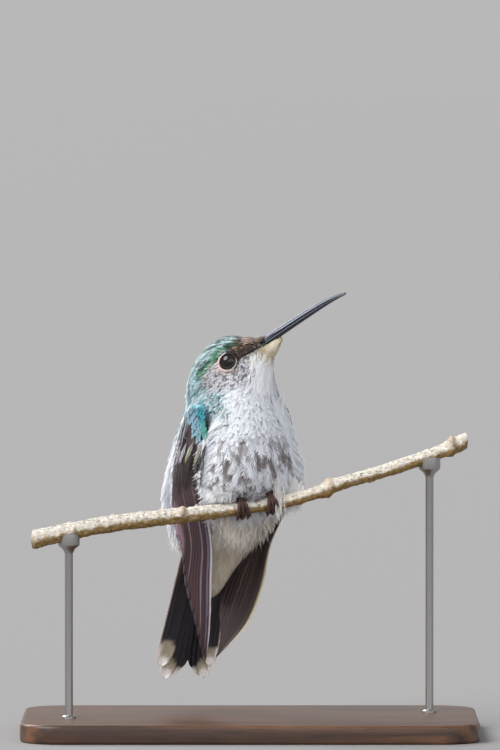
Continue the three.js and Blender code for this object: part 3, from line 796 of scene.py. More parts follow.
class Markings:
    """The colours of skin and coat, worked out from where they are on the bird."""

    COLOURS = {
        key: linear(code)
        for key, code in {
            "white": "#eef3f9", "cool": "#dce1ea", "grey": "#a5a1a9", "dusk": "#6a6063",
            "taupe": "#857c7c", "cream": "#ede6d3", "buff": "#d2bd94", "brown": "#4a372b",
            "emerald": "#438a6e", "mint": "#a3c2c1", "teal": "#3a9ba6", "sky": "#c9e2ec",
            "deep": "#1b3a37", "bronze": "#4d7d4c", "lime": "#93b07c", "pink": "#dcc9c2",
            "spot": "#3d3637"
        }.items()
    }

    def __init__(self, ground: Ground, rng: Chance) -> None:
        """Works out tip, root and shine for each place.

        Args:
            ground: the places.
            rng: gives each feather a shade of its own.
        """
        self.ground = ground
        self.rng = rng
        count = len(ground.points)
        self.lump = cloud(ground.points, 3.2, 7.0)
        self.fine = cloud(ground.points, 1.1, 31.0)
        self.long = cloud(ground.points * [1, 1, 0.42], 1.9, 11.0)
        self.dash = cloud(ground.points * [1, 1, 0.36], 1.05, 13.0)
        rows = np.stack([0.3 * ground.fore, 1.3 * ground.up, 1.3 * ground.side], 1)
        self.streak = cloud(rows, 1.0, 5.0)
        self.speck = cloud(ground.points, 0.62, 17.0)
        self.grit = cloud(ground.points, 0.34, 23.0)
        self.tip = np.tile(self.COLOURS["white"], (count, 1))
        self.root = np.tile(self.COLOURS["cool"], (count, 1))
        self.shine = np.zeros(count)
        self._underparts()
        self._upperparts()
        self._neck_sides()
        self._face()
        shade = 1 + 0.025 * rng.standard_normal(count)[:, None]
        self.tip, self.root = np.clip(self.tip * shade, 0, 1), np.clip(self.root * shade, 0, 1)

    def _paint(self, where: Array, tip: str, root: str | None = None, shine: float | None = None) -> None:
        """Lays a colour over what is there.

        Args:
            where: how much of it shows at each place, from 0 to 1.
            tip: colour name for the tips.
            root: colour name for the roots, if not the same.
            shine: gloss, if it changes.
        """
        share = np.clip(where, 0, 1)[:, None]
        self.tip = mix(self.tip, self.COLOURS[tip], share)
        self.root = mix(self.root, self.COLOURS[root or tip], share)
        if shine is not None:
            self.shine = mix(self.shine, shine, share[:, 0])

    def _underparts(self) -> None:
        """White breast, mottled belly, streaked flanks, cream vent with painted shade, and undertail."""
        g = self.ground
        low = ease(63, 55, g.height)
        self._paint(low * 0.8, "white", "grey")
        dusky = ease(0.05, 0.24, self.dash + 0.35 * self.long) * ease(67, 60, g.height)
        self._paint(dusky * ease(48.5, 52.5, g.height) * ease(78, 56, g.rear), "taupe", "dusk")
        streak = ease(52, 72, g.rear) * ease(60, 54, g.height) * ease(0.0, 0.3, self.long)
        self._paint(streak * 0.6, "grey", "dusk")
        vent = ease(48.5, 45, g.height)
        self._paint(vent * 0.85, "cream", "cool")
        # Painted shade: grey lumps over the cream vent, darker at the roots.
        self._paint(vent * ease(0.1, 0.4, self.lump) * 0.35, "grey", "dusk")
        self._paint(ease(42, 38, g.height), "cream", "cream")

    def _upperparts(self) -> None:
        """Green back and rump with a painted highlight as a pale strip at the sides, and the crown and
        nape, with painted highlight and shade.
        """
        g = self.ground
        rear = g.rear + 9 * self.fine - 10 * (g.round < 0)
        back = ease(100, 122, rear)
        self._paint(back, "bronze", "dusk", 0.9)
        self._paint(back * ease(-0.1, 0.4, self.fine), "emerald", "deep")
        # Painted highlight: a pale strip, white over cool roots, down the edges of the green back, where
        # light glances off its feathers.
        side = ease(98, 106, g.rear) * ease(148, 126, rear) * ease(75, 70, g.height)
        side *= ease(42, 47, g.height)
        self._paint(side * 0.85, "white", "cool", 0.15)
        nape = ease(-2.5, -5.5, g.fore) * ease(-9, -1, g.over_neck)
        crown = np.maximum(ease(-0.25, 0.35, g.cap) * ease(7.8, 6.6, g.fore), nape)
        crown *= ease(-9, -2, g.over_neck)
        band = g.cap + 0.55 * self.streak + 0.3 * self.fine
        # Painted highlight in part: the crown is painted pale mint over dusky roots, its green paled as if
        # lit.
        self._paint(crown, "mint", "dusk", 0.1)
        # Painted highlight: pale sky-blue patches over the crown.
        self._paint(crown * ease(-0.2, 0.2, self.fine) * 0.75, "sky", "mint", 0.1)
        green = ease(1.5, 0.9, band) * ease(-5.6, -4.4, g.fore + 0.8 * self.fine)
        self._paint(crown * green, "emerald", "deep", 0.4)
        self._paint(crown * green * ease(0.6, 0.0, band) * 0.6, "lime", "deep")
        # Dark streaks and a dark line over the crown: partly its own dark streaks, partly painted shade in
        # the gaps between rows of feathers.
        line = np.exp(-(((band - 2.5) / 0.2) ** 2)) * ease(-6, -4, g.fore)
        self._paint(crown * np.maximum(line, ease(0.08, 0.2, -self.streak)) * 0.8, "deep", "deep")
        # Painted highlight: the nape painted pale sky blue over teal roots.
        pale = nape * ease(-4.0, -5.4, g.fore + 0.8 * self.fine)
        self._paint(pale * 0.9, "sky", "teal", 0.2)
        self._paint(pale * ease(0.2, 0.32, self.speck) * 0.7, "deep", "deep")

    def _neck_sides(self) -> None:
        """The green patch that comes round from the back to each side of the breast."""
        g = self.ground
        rear = g.rear - 22 * (g.round > 0)
        patch = ease(22, 50, rear) * ease(65.5, 69.0, g.height) * ease(2.5, -0.5, g.over_neck)
        self._paint(patch * 0.55, "sky", "cool", 0.2)
        self._paint(patch * ease(0.0, 0.22, self.speck + 0.3 * self.fine) * 0.75, "teal", "deep", 0.4)
        self._paint(patch * ease(0.1, 0.3, -self.speck) * 0.4, "grey", "dusk")

    def _face(self) -> None:
        """Brown lores, grey-white cheeks with dark flecks, buff chin, and the ring at the eye."""
        g = self.ground
        head = ease(-1.2, 0.2, g.over_neck)
        cheek = head * ease(0.2, -0.3, g.cap) * ease(-6.0, -3.5, g.fore)
        self._paint(cheek * 0.7, "cool", "grey")
        self._paint(cheek * ease(0.0, 0.3, self.fine) * 0.2, "buff", "grey")
        dull = cheek * ease(-3.5, -1.0, g.up) * ease(2.5, 0.5, g.fore)
        self._paint(dull * 0.35, "grey", "grey")
        near = np.exp(-(((g.fore - 3.4) / 3.2) ** 2) - (((g.up + 2.8) / 2.0) ** 2))
        fleck = cheek * ease(0.2, 0.3, self.grit + 0.14 * near + 0.3 * self.speck)
        self._paint(fleck * 0.8, "spot", "dusk")
        lores = head * ease(3.2, 4.4, g.fore) * ease(-0.5, 0.1, g.up)
        lores *= ease(0.6, -0.1, g.cap - ease(6.5, 7.6, g.fore) * 3)
        self._paint(lores, "brown", "spot")
        self._paint(lores * ease(0.14, 0.3, self.grit) * 0.36, "buff", "brown")
        self._paint(lores * ease(0.12, 0.25, -self.grit) * 0.8, "spot", "spot")
        brow = head * ease(2.4, 1.6, np.abs(g.eye - 2.6)) * ease(0.4, 1.4, g.up - EYE["up"])
        self._paint(brow * ease(0.3, -0.2, g.cap) * ease(-0.1, 0.3, self.grit) * 0.4, "buff", "brown")
        chin = head * ease(5.4, 8.0, g.fore) * ease(0.3, -0.9, g.up)
        self._paint(chin * 0.55, "cream", "cream")
        self._paint(chin * ease(8.0, 9.6, g.fore) * 0.8, "buff", "buff")
        ring = head * ease(2.5, 2.1, g.eye) * ease(1.2, -0.6, g.up - EYE["up"] + 0.6 * (g.fore - 2.1))
        self._paint(ring * 0.8 * ease(-0.35, 0.0, self.fine), "pink")


class Lie:
    """Which way feathers lie: back from the bill over the head, then down the body."""

    BILL_ROOT = moved(np.array([0.0, -10.5, 0.0]), HEAD)
    EYES = [moved(np.array([s * EYE["side"], -EYE["forward"], EYE["up"]]), HEAD) for s in (-1, 1)]

    @classmethod
    def at(cls, points: Array) -> Array:
        """Unit directions (N, 3), not yet laid along the surface."""
        g = Ground(points)
        on_head = unit(0.55 * unit(points - cls.BILL_ROOT) - 0.45 * FORWARD)
        for eye in cls.EYES:
            away = points - eye
            gap = np.linalg.norm(away, axis=1)
            near = ease(4.2, 2.6, gap) * ease(-1.0, 1.0, away @ FORWARD)
            aside = unit(away - np.outer(away @ FORWARD, FORWARD))
            on_head = unit(on_head + (0.9 * near)[:, None] * aside)
        front = ease(110, 60, g.rear)
        part = 0.3 * np.sign(points[:, 0]) * np.minimum(np.abs(points[:, 0]) / 8, 1)
        part *= front * ease(70, 60, g.height) * ease(40, 46, g.height)
        under = 0.45 * ease(50, 44, g.height) * front
        down = np.stack([part, under, -np.ones(len(points))], 1)
        return unit(mix(unit(down), on_head, g.head[:, None]))


# ---------------------------------------------------------------- skin and coat


def coat_depth(points: Array) -> Array:
    """How far the skin lies under the coat's surface, in mm, at places in the bird's frame."""
    g = Ground(points)
    trunk = mix(0.45, 0.95, ease(36, 46, g.height))
    return mix(trunk, 0.5, ease(-8, 0, g.over_neck))


@dataclass
class Skin:
    """One skin over head, neck, trunk and shanks, inside the coat."""

    nodes: tuple[str, ...] = ("head", "neck", "trunk", "leg_left", "leg_right")
    filled: tuple[str, ...] = ("eye_left", "eye_right")  # so that the sockets close
    swell: float = 0.22  # closes the gaps between the solids
    voxel: float = 0.42
    seed: int = 3

    def build(self, parts: dict[str, Piece]) -> Piece:
        """Makes the skin's mesh at the coat's surface, before it is shrunk.

        Args:
            parts: the frame's nodes by name.

        Returns:
            The skin, ready for the coat to be planted on.
        """
        copies = []
        for name in (*self.nodes, *self.filled):
            copies.append(bpy.data.objects.new("skin_" + name, parts[name].data.copy()))
            bpy.context.scene.collection.objects.link(copies[-1])
        take(*copies)
        with editing():
            bpy.ops.mesh.select_all(action="SELECT")
            bpy.ops.mesh.remove_doubles(threshold=0.001 * MM)
        bpy.ops.object.join()
        self.piece = copies[0]
        self.piece.name = self.piece.data.name = "skin"
        swell = self.piece.modifiers.new("swell", "DISPLACE")
        swell.strength, swell.mid_level = self.swell * MM, 0.0
        fuse = self.piece.modifiers.new("fuse", "REMESH")
        fuse.mode, fuse.voxel_size = "VOXEL", self.voxel * MM
        even = self.piece.modifiers.new("even", "SMOOTH")
        even.factor, even.iterations = 0.5, 10
        settle = self.piece.modifiers.new("settle", "DISPLACE")
        settle.strength, settle.mid_level = -self.swell * MM, 0.0
        apply_modifiers(self.piece)
        self._clear_eye()
        return self.piece

    def _clear_eye(self) -> None:
        """Draws the left cheek in round its eye, that the turned neck would bury."""
        points = moved(moved(points_of(self.piece), TO_BIRD), TO_HEAD)
        away = np.hypot(-points[:, 1] - EYE["forward"], points[:, 2] - EYE["up"])
        most = 5.9 + 0.11 * np.clip(away - 2.6, 0, None) ** 2
        points[:, 0] = np.minimum(points[:, 0], most)
        set_points(self.piece, moved(moved(points, HEAD), BIRD))

    def dress(self, material: Finish) -> Piece:
        """Shrinks the skin under the coat and gives it the coat's markings.

        Args:
            material: the plumage finish.

        Returns:
            The finished skin.
        """
        points = moved(points_of(self.piece), TO_BIRD)
        normals = np.empty(len(points) * 3, np.float32)
        self.piece.data.vertices.foreach_get("normal", normals)
        normals = turned(normals.reshape(-1, 3).astype(float), TO_BIRD)
        points = points - normals * coat_depth(points)[:, None]
        set_points(self.piece, moved(points, BIRD))
        marks = Markings(Ground(points), np.random.default_rng(self.seed))
        colour = mix(marks.root, marks.tip, 0.6) * 0.92
        set_attributes(self.piece.data, {"tint": colour}, {"shine": marks.shine * 0.5})
        self.piece.data.shade_smooth()
        return keep(self.piece, material, "plumage_body", *self.nodes)


class Body:
    """The surfaces that the coat is planted on and kept clear of, in the bird's frame."""

    OVERHEAD = 3.5  # mm: no feather grows under a wing or the tail as near as this
    BESIDE = {"right": 3.0, "left": 2.0, "from": 38, "to": 48.5}  # mm: nor near one, at these heights
    LOWEST = 30.0
    AT_EYE = 1.7
    AT_BILL = 1.1

    def __init__(self, skin: Piece, parts: dict[str, Piece]) -> None:
        """Reads the skin before it is shrunk, and the nodes that cover it.

        Args:
            skin: the skin at the coat's surface.
            parts: the frame's nodes by name.
        """
        self.points = moved(points_of(skin), TO_BIRD)
        skin.data.calc_loop_triangles()
        tris = np.empty(len(skin.data.loop_triangles) * 3, np.int32)
        skin.data.loop_triangles.foreach_get("vertices", tris)
        self.faces = tris.reshape(-1, 3)
        self.wing_from = len(self.faces)
        own = [tuple(p) for p in self.points], [tuple(f) for f in self.faces.tolist()]
        wings = self._joined(parts, ["wing_left", "wing_right"])
        shift = len(own[0])
        faces = own[1] + [tuple(i + shift for i in f) for f in wings[1]]
        self.surface = BVHTree.FromPolygons(own[0] + wings[0], faces)
        self.cover = BVHTree.FromPolygons(*self._joined(parts, ["wing_left", "wing_right", "tail"]))

    @staticmethod
    def _joined(parts: dict, names: Sequence[str]) -> tuple[list, list]:
        """Points and faces of several nodes together, in the bird's frame."""
        points, faces = [], []
        for name in names:
            mesh = parts[name].data
            start = len(points)
            co = moved(points_of(parts[name]), TO_BIRD)
            points += [tuple(p) for p in co]
            faces += [tuple(start + i for i in p.vertices) for p in mesh.polygons]
        return points, faces

    def sow(self, rng: Chance, tries: int = 90000) -> tuple[Array, Array, Array]:
        """Spreads roots over the body, each zone's own distance apart.

        Args:
            rng: the source of chance.
            tries: how many places are tried.

        Returns:
            Places (N, 3), normals (N, 3) and zone numbers (N,).
        """
        a, b, c = (self.points[self.faces[:, k]] for k in range(3))
        cross = np.cross(b - a, c - a)
        area = np.linalg.norm(cross, axis=1)
        pick = rng.choice(len(area), tries, p=area / area.sum())
        u, v = rng.random((2, tries))
        u, v = np.where(u + v > 1, 1 - u, u)[:, None], np.where(u + v > 1, 1 - v, v)[:, None]
        places = a[pick] + u * (b - a)[pick] + v * (c - a)[pick]
        normals = unit(cross[pick])
        zones = Ground(places).zones()
        gaps = np.array([PLUMES[zone].spacing for zone in Zone])[zones]
        cell = gaps.max()
        grid: dict[tuple, list] = {}
        kept = []
        near = [(i, j, k) for i in (-1, 0, 1) for j in (-1, 0, 1) for k in (-1, 0, 1)]
        cells = np.floor(places / cell).astype(int).tolist()
        plain, limits = places.tolist(), (gaps**2).tolist()
        for n, (p, key, limit) in enumerate(zip(plain, cells, limits)):
            taken = any(
                (p[0] - q[0]) ** 2 + (p[1] - q[1]) ** 2 + (p[2] - q[2]) ** 2 < limit for i, j, k in near
                for q in grid.get((key[0] + i, key[1] + j, key[2] + k), ())
            )
            if not taken:
                grid.setdefault(tuple(key), []).append(p)
                kept.append(n)
        kept = [n for n in kept if not self.covered(places[n], normals[n])]
        return places[kept], normals[kept], zones[kept]

    def covered(self, place: Array, normal: Array) -> bool:
        """Whether a wing or the tail lies close over a place, or the eye or bill takes it."""
        hit = self.cover.ray_cast(Vector(place + normal * 0.05), Vector(normal), self.OVERHEAD)
        if hit[0] is not None:
            return True
        near = self.BESIDE
        if near["from"] < place[2] < near["to"]:
            reach = near["right" if place[0] < 0 else "left"]
            if self.cover.find_nearest(Vector(place), reach)[0] is not None:
                return True
        if place[2] < self.LOWEST:
            return True
        side, back, up = moved(place, TO_HEAD)
        from_eye = math.hypot(-back - EYE["forward"], (up - EYE["up"]) * 1.16)
        at_eye = from_eye < self.AT_EYE and abs(side) > 4
        at_bill = math.hypot(side, up - 0.4) < self.AT_BILL and -back > 8.4
        return at_eye or at_bill

    def depth(self, across: float, height: float) -> float:
        """How far back the coat or a wing, or its edge, lies from in front, in the world's axes."""
        far, fall = 60.0, 0.035  # the look starts in front of the bird and goes down a little
        for share in np.linspace(1.0, 0.4, 31).tolist():
            start = TO_BIRD @ Vector((across * share, -far, height + far * fall))
            hit = self.surface.ray_cast(start, TO_BIRD.to_3x3() @ Vector((0, 1, -fall)))
            if hit[0] is not None:
                return (BIRD @ hit[0]).y
        return 0.0

    def combed(self, places: Array, normals: Array, kind: Plume, rng: Chance) -> tuple[Array, Array]:
        """Lays feathers from their roots along the body.

        Args:
            places: roots (N, 3) on the coat's surface.
            normals: outward normals (N, 3) there.
            kind: their kind.
            rng: the source of chance.

        Returns:
            Four points along each shaft (N, 4, 3), and the outward direction at each.
        """
        count = len(places)
        depth = coat_depth(places)
        length = kind.length * (1 + 0.12 * rng.standard_normal(count))
        turn = kind.stray * rng.standard_normal(count)
        lies = Lie.at(places)
        rises = [-1.15, -0.3, -0.02, kind.proud]  # under the surface as shares of depth, or mm over it
        line = np.empty((count, 4, 3))
        ups = np.empty((count, 4, 3))
        for n in range(count):
            up, here = Vector(normals[n]), Vector(places[n])
            way = Vector(lies[n])
            way = (way - up * way.dot(up)).normalized()
            way.rotate(Matrix.Rotation(turn[n], 3, up))
            line[n, 0], ups[n, 0] = here + up * (rises[0] * depth[n]), up
            step = way * (length[n] / 3)
            for k in (1, 2, 3):
                ahead = here + step
                near, face_up, index, _ = self.surface.find_nearest(ahead, 6.0)
                if near is not None:
                    over = index >= self.wing_from
                    here = ahead.lerp(near, kind.follow)
                    up = up.lerp(face_up, 0.25 if over else 0.6).normalized()
                    step = (step - up * step.dot(up) * kind.follow).normalized() * (length[n] / 3)
                    rise = max(rises[k], 0.2 + 0.1 * k) if over else rises[k]
                else:
                    here, rise = ahead, rises[k]
                height = rise * depth[n] if rise < 0 else rise
                line[n, k], ups[n, k] = here + up * height, up
        return line, ups


def bezier(line: Array, share: Array) -> tuple[Array, Array]:
    """Places on smooth lines and the directions there.

    Args:
        line: four points for each of N lines (N, 4, 3).
        share: where along them (N, ...), from 0 to 1; past an end the line goes straight on.

    Returns:
        Places and unit directions (N, ..., 3).
    """
    t = np.clip(share, 0, 1)
    shape = (len(line),) + (1,) * (t.ndim - 1) + (3,)
    p = [line[:, k].reshape(shape) for k in range(4)]
    u, v = t[..., None], 1 - t[..., None]
    place = v**3 * p[0] + 3 * v * v * u * p[1] + 3 * v * u * u * p[2] + u**3 * p[3]
    slope = v * v * (p[1] - p[0]) + 2 * v * u * (p[2] - p[1]) + u * u * (p[3] - p[2])
    place = place + 3 * slope * (share - t)[..., None]
    return place, unit(slope)


class Gathered:
    """Arrays of several kinds, added feather by feather and joined once."""

    def __init__(self) -> None:
        """Starts with none."""
        self.rows: dict[str, list[Array]] = {}

    def put(self, **arrays: Array) -> None:
        """Adds one array to each kind."""
        for kind, array in arrays.items():
            self.rows.setdefault(kind, []).append(array)

    def all(self, kind: str) -> Array:
        """All arrays of a kind, end to end."""
        return np.concatenate(self.rows[kind])


class Tufts:
    """Feathers of one kind, built together as thin barbs on a common pattern."""

    ALONG = np.array([0.0, 0.4, 0.75, 1.0])  # stations along a barb
    BREADTH = np.array([0.85, 1.0, 0.7, 0.15])
    SAG = 0.22  # how far a feather's edges bend down, as a share of half its width
    ROUNDED = 0.9  # how far the shading is that of a full feather, not of single barbs
    PATCH = 0.003  # share of the baking map that a feather takes

    def __init__(self, name: str, kind: Plume, rng: Chance) -> None:
        """Starts an empty coat piece.

        Args:
            name: the piece's name.
            kind: the feathers' kind.
            rng: the source of chance.
        """
        self.name, self.kind, self.rng = name, kind, rng
        self.made = Gathered()

    def grow(
        self, line: Array, ups: Array, tip: Array, root: Array, shine: Array, roots_on_map: Array,
        widths: Array | float = 1.0, side_tint: Array | None = None
    ) -> None:
        """Grows feathers on shafts.

        Args:
            line: four points along each shaft (N, 4, 3), in the bird's frame.
            ups: the outward direction at each (N, 4, 3).
            tip: tip colours (N, 3).
            root: root colours (N, 3).
            shine: gloss (N,).
            roots_on_map: where each root lies on the skin's unwrap (N, 2).
            widths: breadth of each as a share of the kind's.
            side_tint: colours (N, 3) of the vanes' edges, if they differ.
        """
        kind, rng = self.kind, self.rng
        count = len(line)
        rank = np.linspace(0, 1, kind.barbs)
        end = 0.46 + 0.54 * rank
        start = np.maximum(end - (0.42 - 0.18 * rank), 0.02)
        reach = np.sqrt(np.clip(1 - (np.abs(end - 0.5) / 0.56) ** 2.2, 0.03, 1))
        start = np.concatenate([start, start, [0.1]])
        end = np.concatenate([end, end, [1.02]])
        reach = np.concatenate([-reach, reach, [0.0]])
        bars = len(end)
        wild = rng.standard_normal((3, count, bars))
        end = end * (1 + kind.ragged * 0.45 * wild[0] - kind.ragged * 0.3)
        reach = reach * (1 + kind.ragged * wild[1]) + kind.ragged * 0.12 * wild[2]
        share = start[None, :, None] + (end - start)[..., None] * self.ALONG
        half = kind.half * np.broadcast_to(widths, (count,))
        out = (reach * half[:, None])[..., None] * self.ALONG**0.8
        place, way = bezier(line, share)
        up, _ = bezier(ups, share)
        up = unit(up)
        side = unit(np.cross(way, up))
        sag = self.SAG * (out / kind.half) ** 2 * kind.half
        loft = kind.ragged * 0.5 * wild[2][..., None] * self.ALONG**2 * kind.half
        middle = place + side * out[..., None] + up * (loft - sag)[..., None]
        ahead = unit(np.gradient(middle, axis=2))
        across = unit(np.cross(ahead, up))
        roll = 1.1 * kind.ragged * wild[0][..., None, None]
        across = across * np.cos(roll) + up * np.sin(roll)
        broad = (kind.strand * self.BREADTH * 0.5)[:, None] * np.ones((count, bars, 1, 1))
        ribbon = np.stack([middle - across * broad, middle + across * broad], 3)
        own = unit(np.cross(across, ahead))
        soft = up + side * (0.3 * out / half[:, None, None])[..., None]
        shade = unit(mix(own, unit(soft), self.ROUNDED))
        shade = np.repeat(shade[:, :, :, None], 2, 3)
        depth = np.clip(share, 0, 1)[..., None] ** 0.9
        tint = mix(root[:, None, None], tip[:, None, None], depth)
        if side_tint is not None:
            edge = ease(0.45, 0.95, np.abs(out / half[:, None, None]))[..., None]
            tint = mix(tint, side_tint[:, None, None], edge)
        tint = tint * (1 + 0.06 * wild[1])[..., None, None]
        tint = np.repeat(np.clip(tint, 0, 1)[:, :, :, None], 2, 3)
        spot = np.stack([out / (2.4 * kind.half), share - 0.5], -1)
        spot = np.repeat(np.clip(spot, -0.5, 0.5)[:, :, :, None], 2, 3)
        spot[..., 0, 0] -= 0.04
        spot[..., 1, 0] += 0.04
        spot = roots_on_map[:, None, None, None] + self.PATCH * spot
        self.made.put(points=ribbon.reshape(-1, 3), normals=shade.reshape(-1, 3))
        self.made.put(tints=tint.reshape(-1, 3), maps=spot.reshape(-1, 2))
        self.made.put(shines=np.repeat(shine, bars * 8))

    def piece(self) -> Piece:
        """All feathers so far as one object."""
        points = moved(self.made.all("points"), BIRD)
        bars = len(points) // 8
        bar = np.array([[0, 1, 3, 2], [2, 3, 5, 4], [4, 5, 7, 6]])
        quads = (np.arange(bars)[:, None, None] * 8 + bar).reshape(-1, 4)
        return mesh_of(
            self.name, points, quads, {"tint": self.made.all("tints")},
            {"shine": self.made.all("shines")}, self.made.all("maps"),
            turned(self.made.all("normals"), BIRD)
        )


def unwrapped(points: Array) -> Array:
    """Where places on the skin lie on its own unwrap, from 0 to 1 both ways.

    The head is unrolled round the bill's axis on the right of the map, the rest round the trunk's
    axis on the left.
    """
    g = Ground(points)
    body = np.stack([0.02 + 0.6 * (g.round + 180) / 360, 0.02 + (g.height - 25) / 60], 1)
    side, back, up = moved(points, TO_HEAD).T
    around = (np.degrees(np.arctan2(side, up)) + 180) / 360
    head = np.stack([0.65 + 0.33 * around, 0.03 + (back + 15) / 28], 1)
    return np.where((g.over_neck > -0.6)[:, None], head, body)


@dataclass
class Coat:
    """The contour feathers of head and body, one piece for each zone."""

    seed: int = 11

    def build(self, body: Body, material: Finish) -> list[Piece]:
        """Plants and combs the coat.

        Args:
            body: the surfaces to grow on.
            material: the plumage finish.

        Returns:
            The pieces.
        """
        rng = np.random.default_rng(self.seed)
        places, normals, zones = body.sow(rng)
        pieces = []
        for zone in Zone:
            here = zones == zone.value
            if not here.any():
                continue
            spots, ups = places[here], normals[here]
            line, ups = body.combed(spots, ups, PLUMES[zone], rng)
            marks = Markings(Ground(spots), rng)
            tufts = Tufts("coat_" + zone.name.lower(), PLUMES[zone], rng)
            tufts.grow(line, ups, marks.tip, marks.root, marks.shine, unwrapped(spots))
            pieces.append(keep(tufts.piece(), material, "plumage_body"))
        return pieces


@dataclass(frozen=True)
class Lock:
    """A fringe of loose feathers past the coat's edge, from a line of roots to a line of tips.

    Places are across, depth and height in mm; a depth of None is read off the coat or wing there.
    """

    name: str
    kind: Plume
    roots: tuple[tuple, ...]
    tips: tuple[tuple, ...]
    count: int
    colours: tuple[str, str]  # of the tips and the roots
    clear: float = 0.35  # how far the tips stay in front of what lies behind them
    loose: float = 0.35
    bow: float = 0.35
    face: tuple[float, float, float] = (0.0, -1.0, 0.15)
    frame: Matrix | None = None  # the world's axes if there is none
    hug: bool = False  # whether the whole feather lies on the coat

    def build(self, body: Body, material: Finish, rng: Chance) -> Piece:
        """Grows the fringe.

        Args:
            body: what depths are read from.
            material: the plumage finish.
            rng: the source of chance.

        Returns:
            The piece.
        """
        share = rng.random(self.count)
        root, tip = (self._along(row, share) for row in (self.roots, self.tips))
        root[:, [0, 2]] += (1.0 if self.hug else 2.0) * self.loose * rng.standard_normal((self.count, 2))
        tip[:, [0, 2]] += self.loose * rng.standard_normal((self.count, 2))
        for row, gap in ((root, -0.5), (tip, self.clear)):
            for n in np.flatnonzero(np.isnan(row[:, 1])):
                row[n, 1] = body.depth(row[n, 0], row[n, 2]) - gap
        face = unit(np.array(self.face))
        steps = np.array([0, 1, 2, 3])[None, :, None] / 3
        line = mix(root[:, None], tip[:, None], steps)
        line += face * self.bow * np.array([0, 1.0, 0.9, 0.0])[None, :, None]
        frame = self.frame or TO_BIRD
        line = moved(line.reshape(-1, 3), frame).reshape(-1, 4, 3)
        ups = np.broadcast_to(unit(turned(face[None], frame)), line.shape).copy()
        for n, k in np.ndindex(self.count, 4):
            near, up, _, _ = body.surface.find_nearest(Vector(line[n, k]), 8.0)
            if self.hug:
                line[n, k] = near + up * (self.clear * (-0.4, 0.8, 1.0, 0.5)[k])
                ups[n, k] = up
            elif near is not None:
                ups[n, k] = unit(ups[n, k] + up)
        tufts = Tufts(self.name, self.kind, rng)
        shade = np.clip(1 + 0.06 * rng.standard_normal(self.count), 0.8, 1.1)[:, None]
        tones = [shade * linear(code) for code in self.colours]
        tufts.grow(line, ups, *tones, np.zeros(self.count), unwrapped(line[:, 0]))
        return keep(tufts.piece(), material, "plumage_body")

    @staticmethod
    def _along(row: tuple[tuple, ...], share: Array) -> Array:
        """Places at shares along a row of points."""
        points = np.array([[np.nan if v is None else v for v in p] for p in row], float)
        at = np.linspace(0, 1, len(points))
        return np.stack([np.interp(share, at, points[:, k]) for k in range(3)], 1)


def round_eye(side: int, radius: float, turn: float) -> tuple[tuple, ...]:
    """Places in the head's frame round an eye, from above it back, under it and forward."""
    return tuple(
        (side * 6.1, -EYE["forward"] - radius * math.cos(a), EYE["up"] + 0.9 * radius * math.sin(a))
        for a in np.radians(np.linspace(85, 340, 16) + turn).tolist()
    )


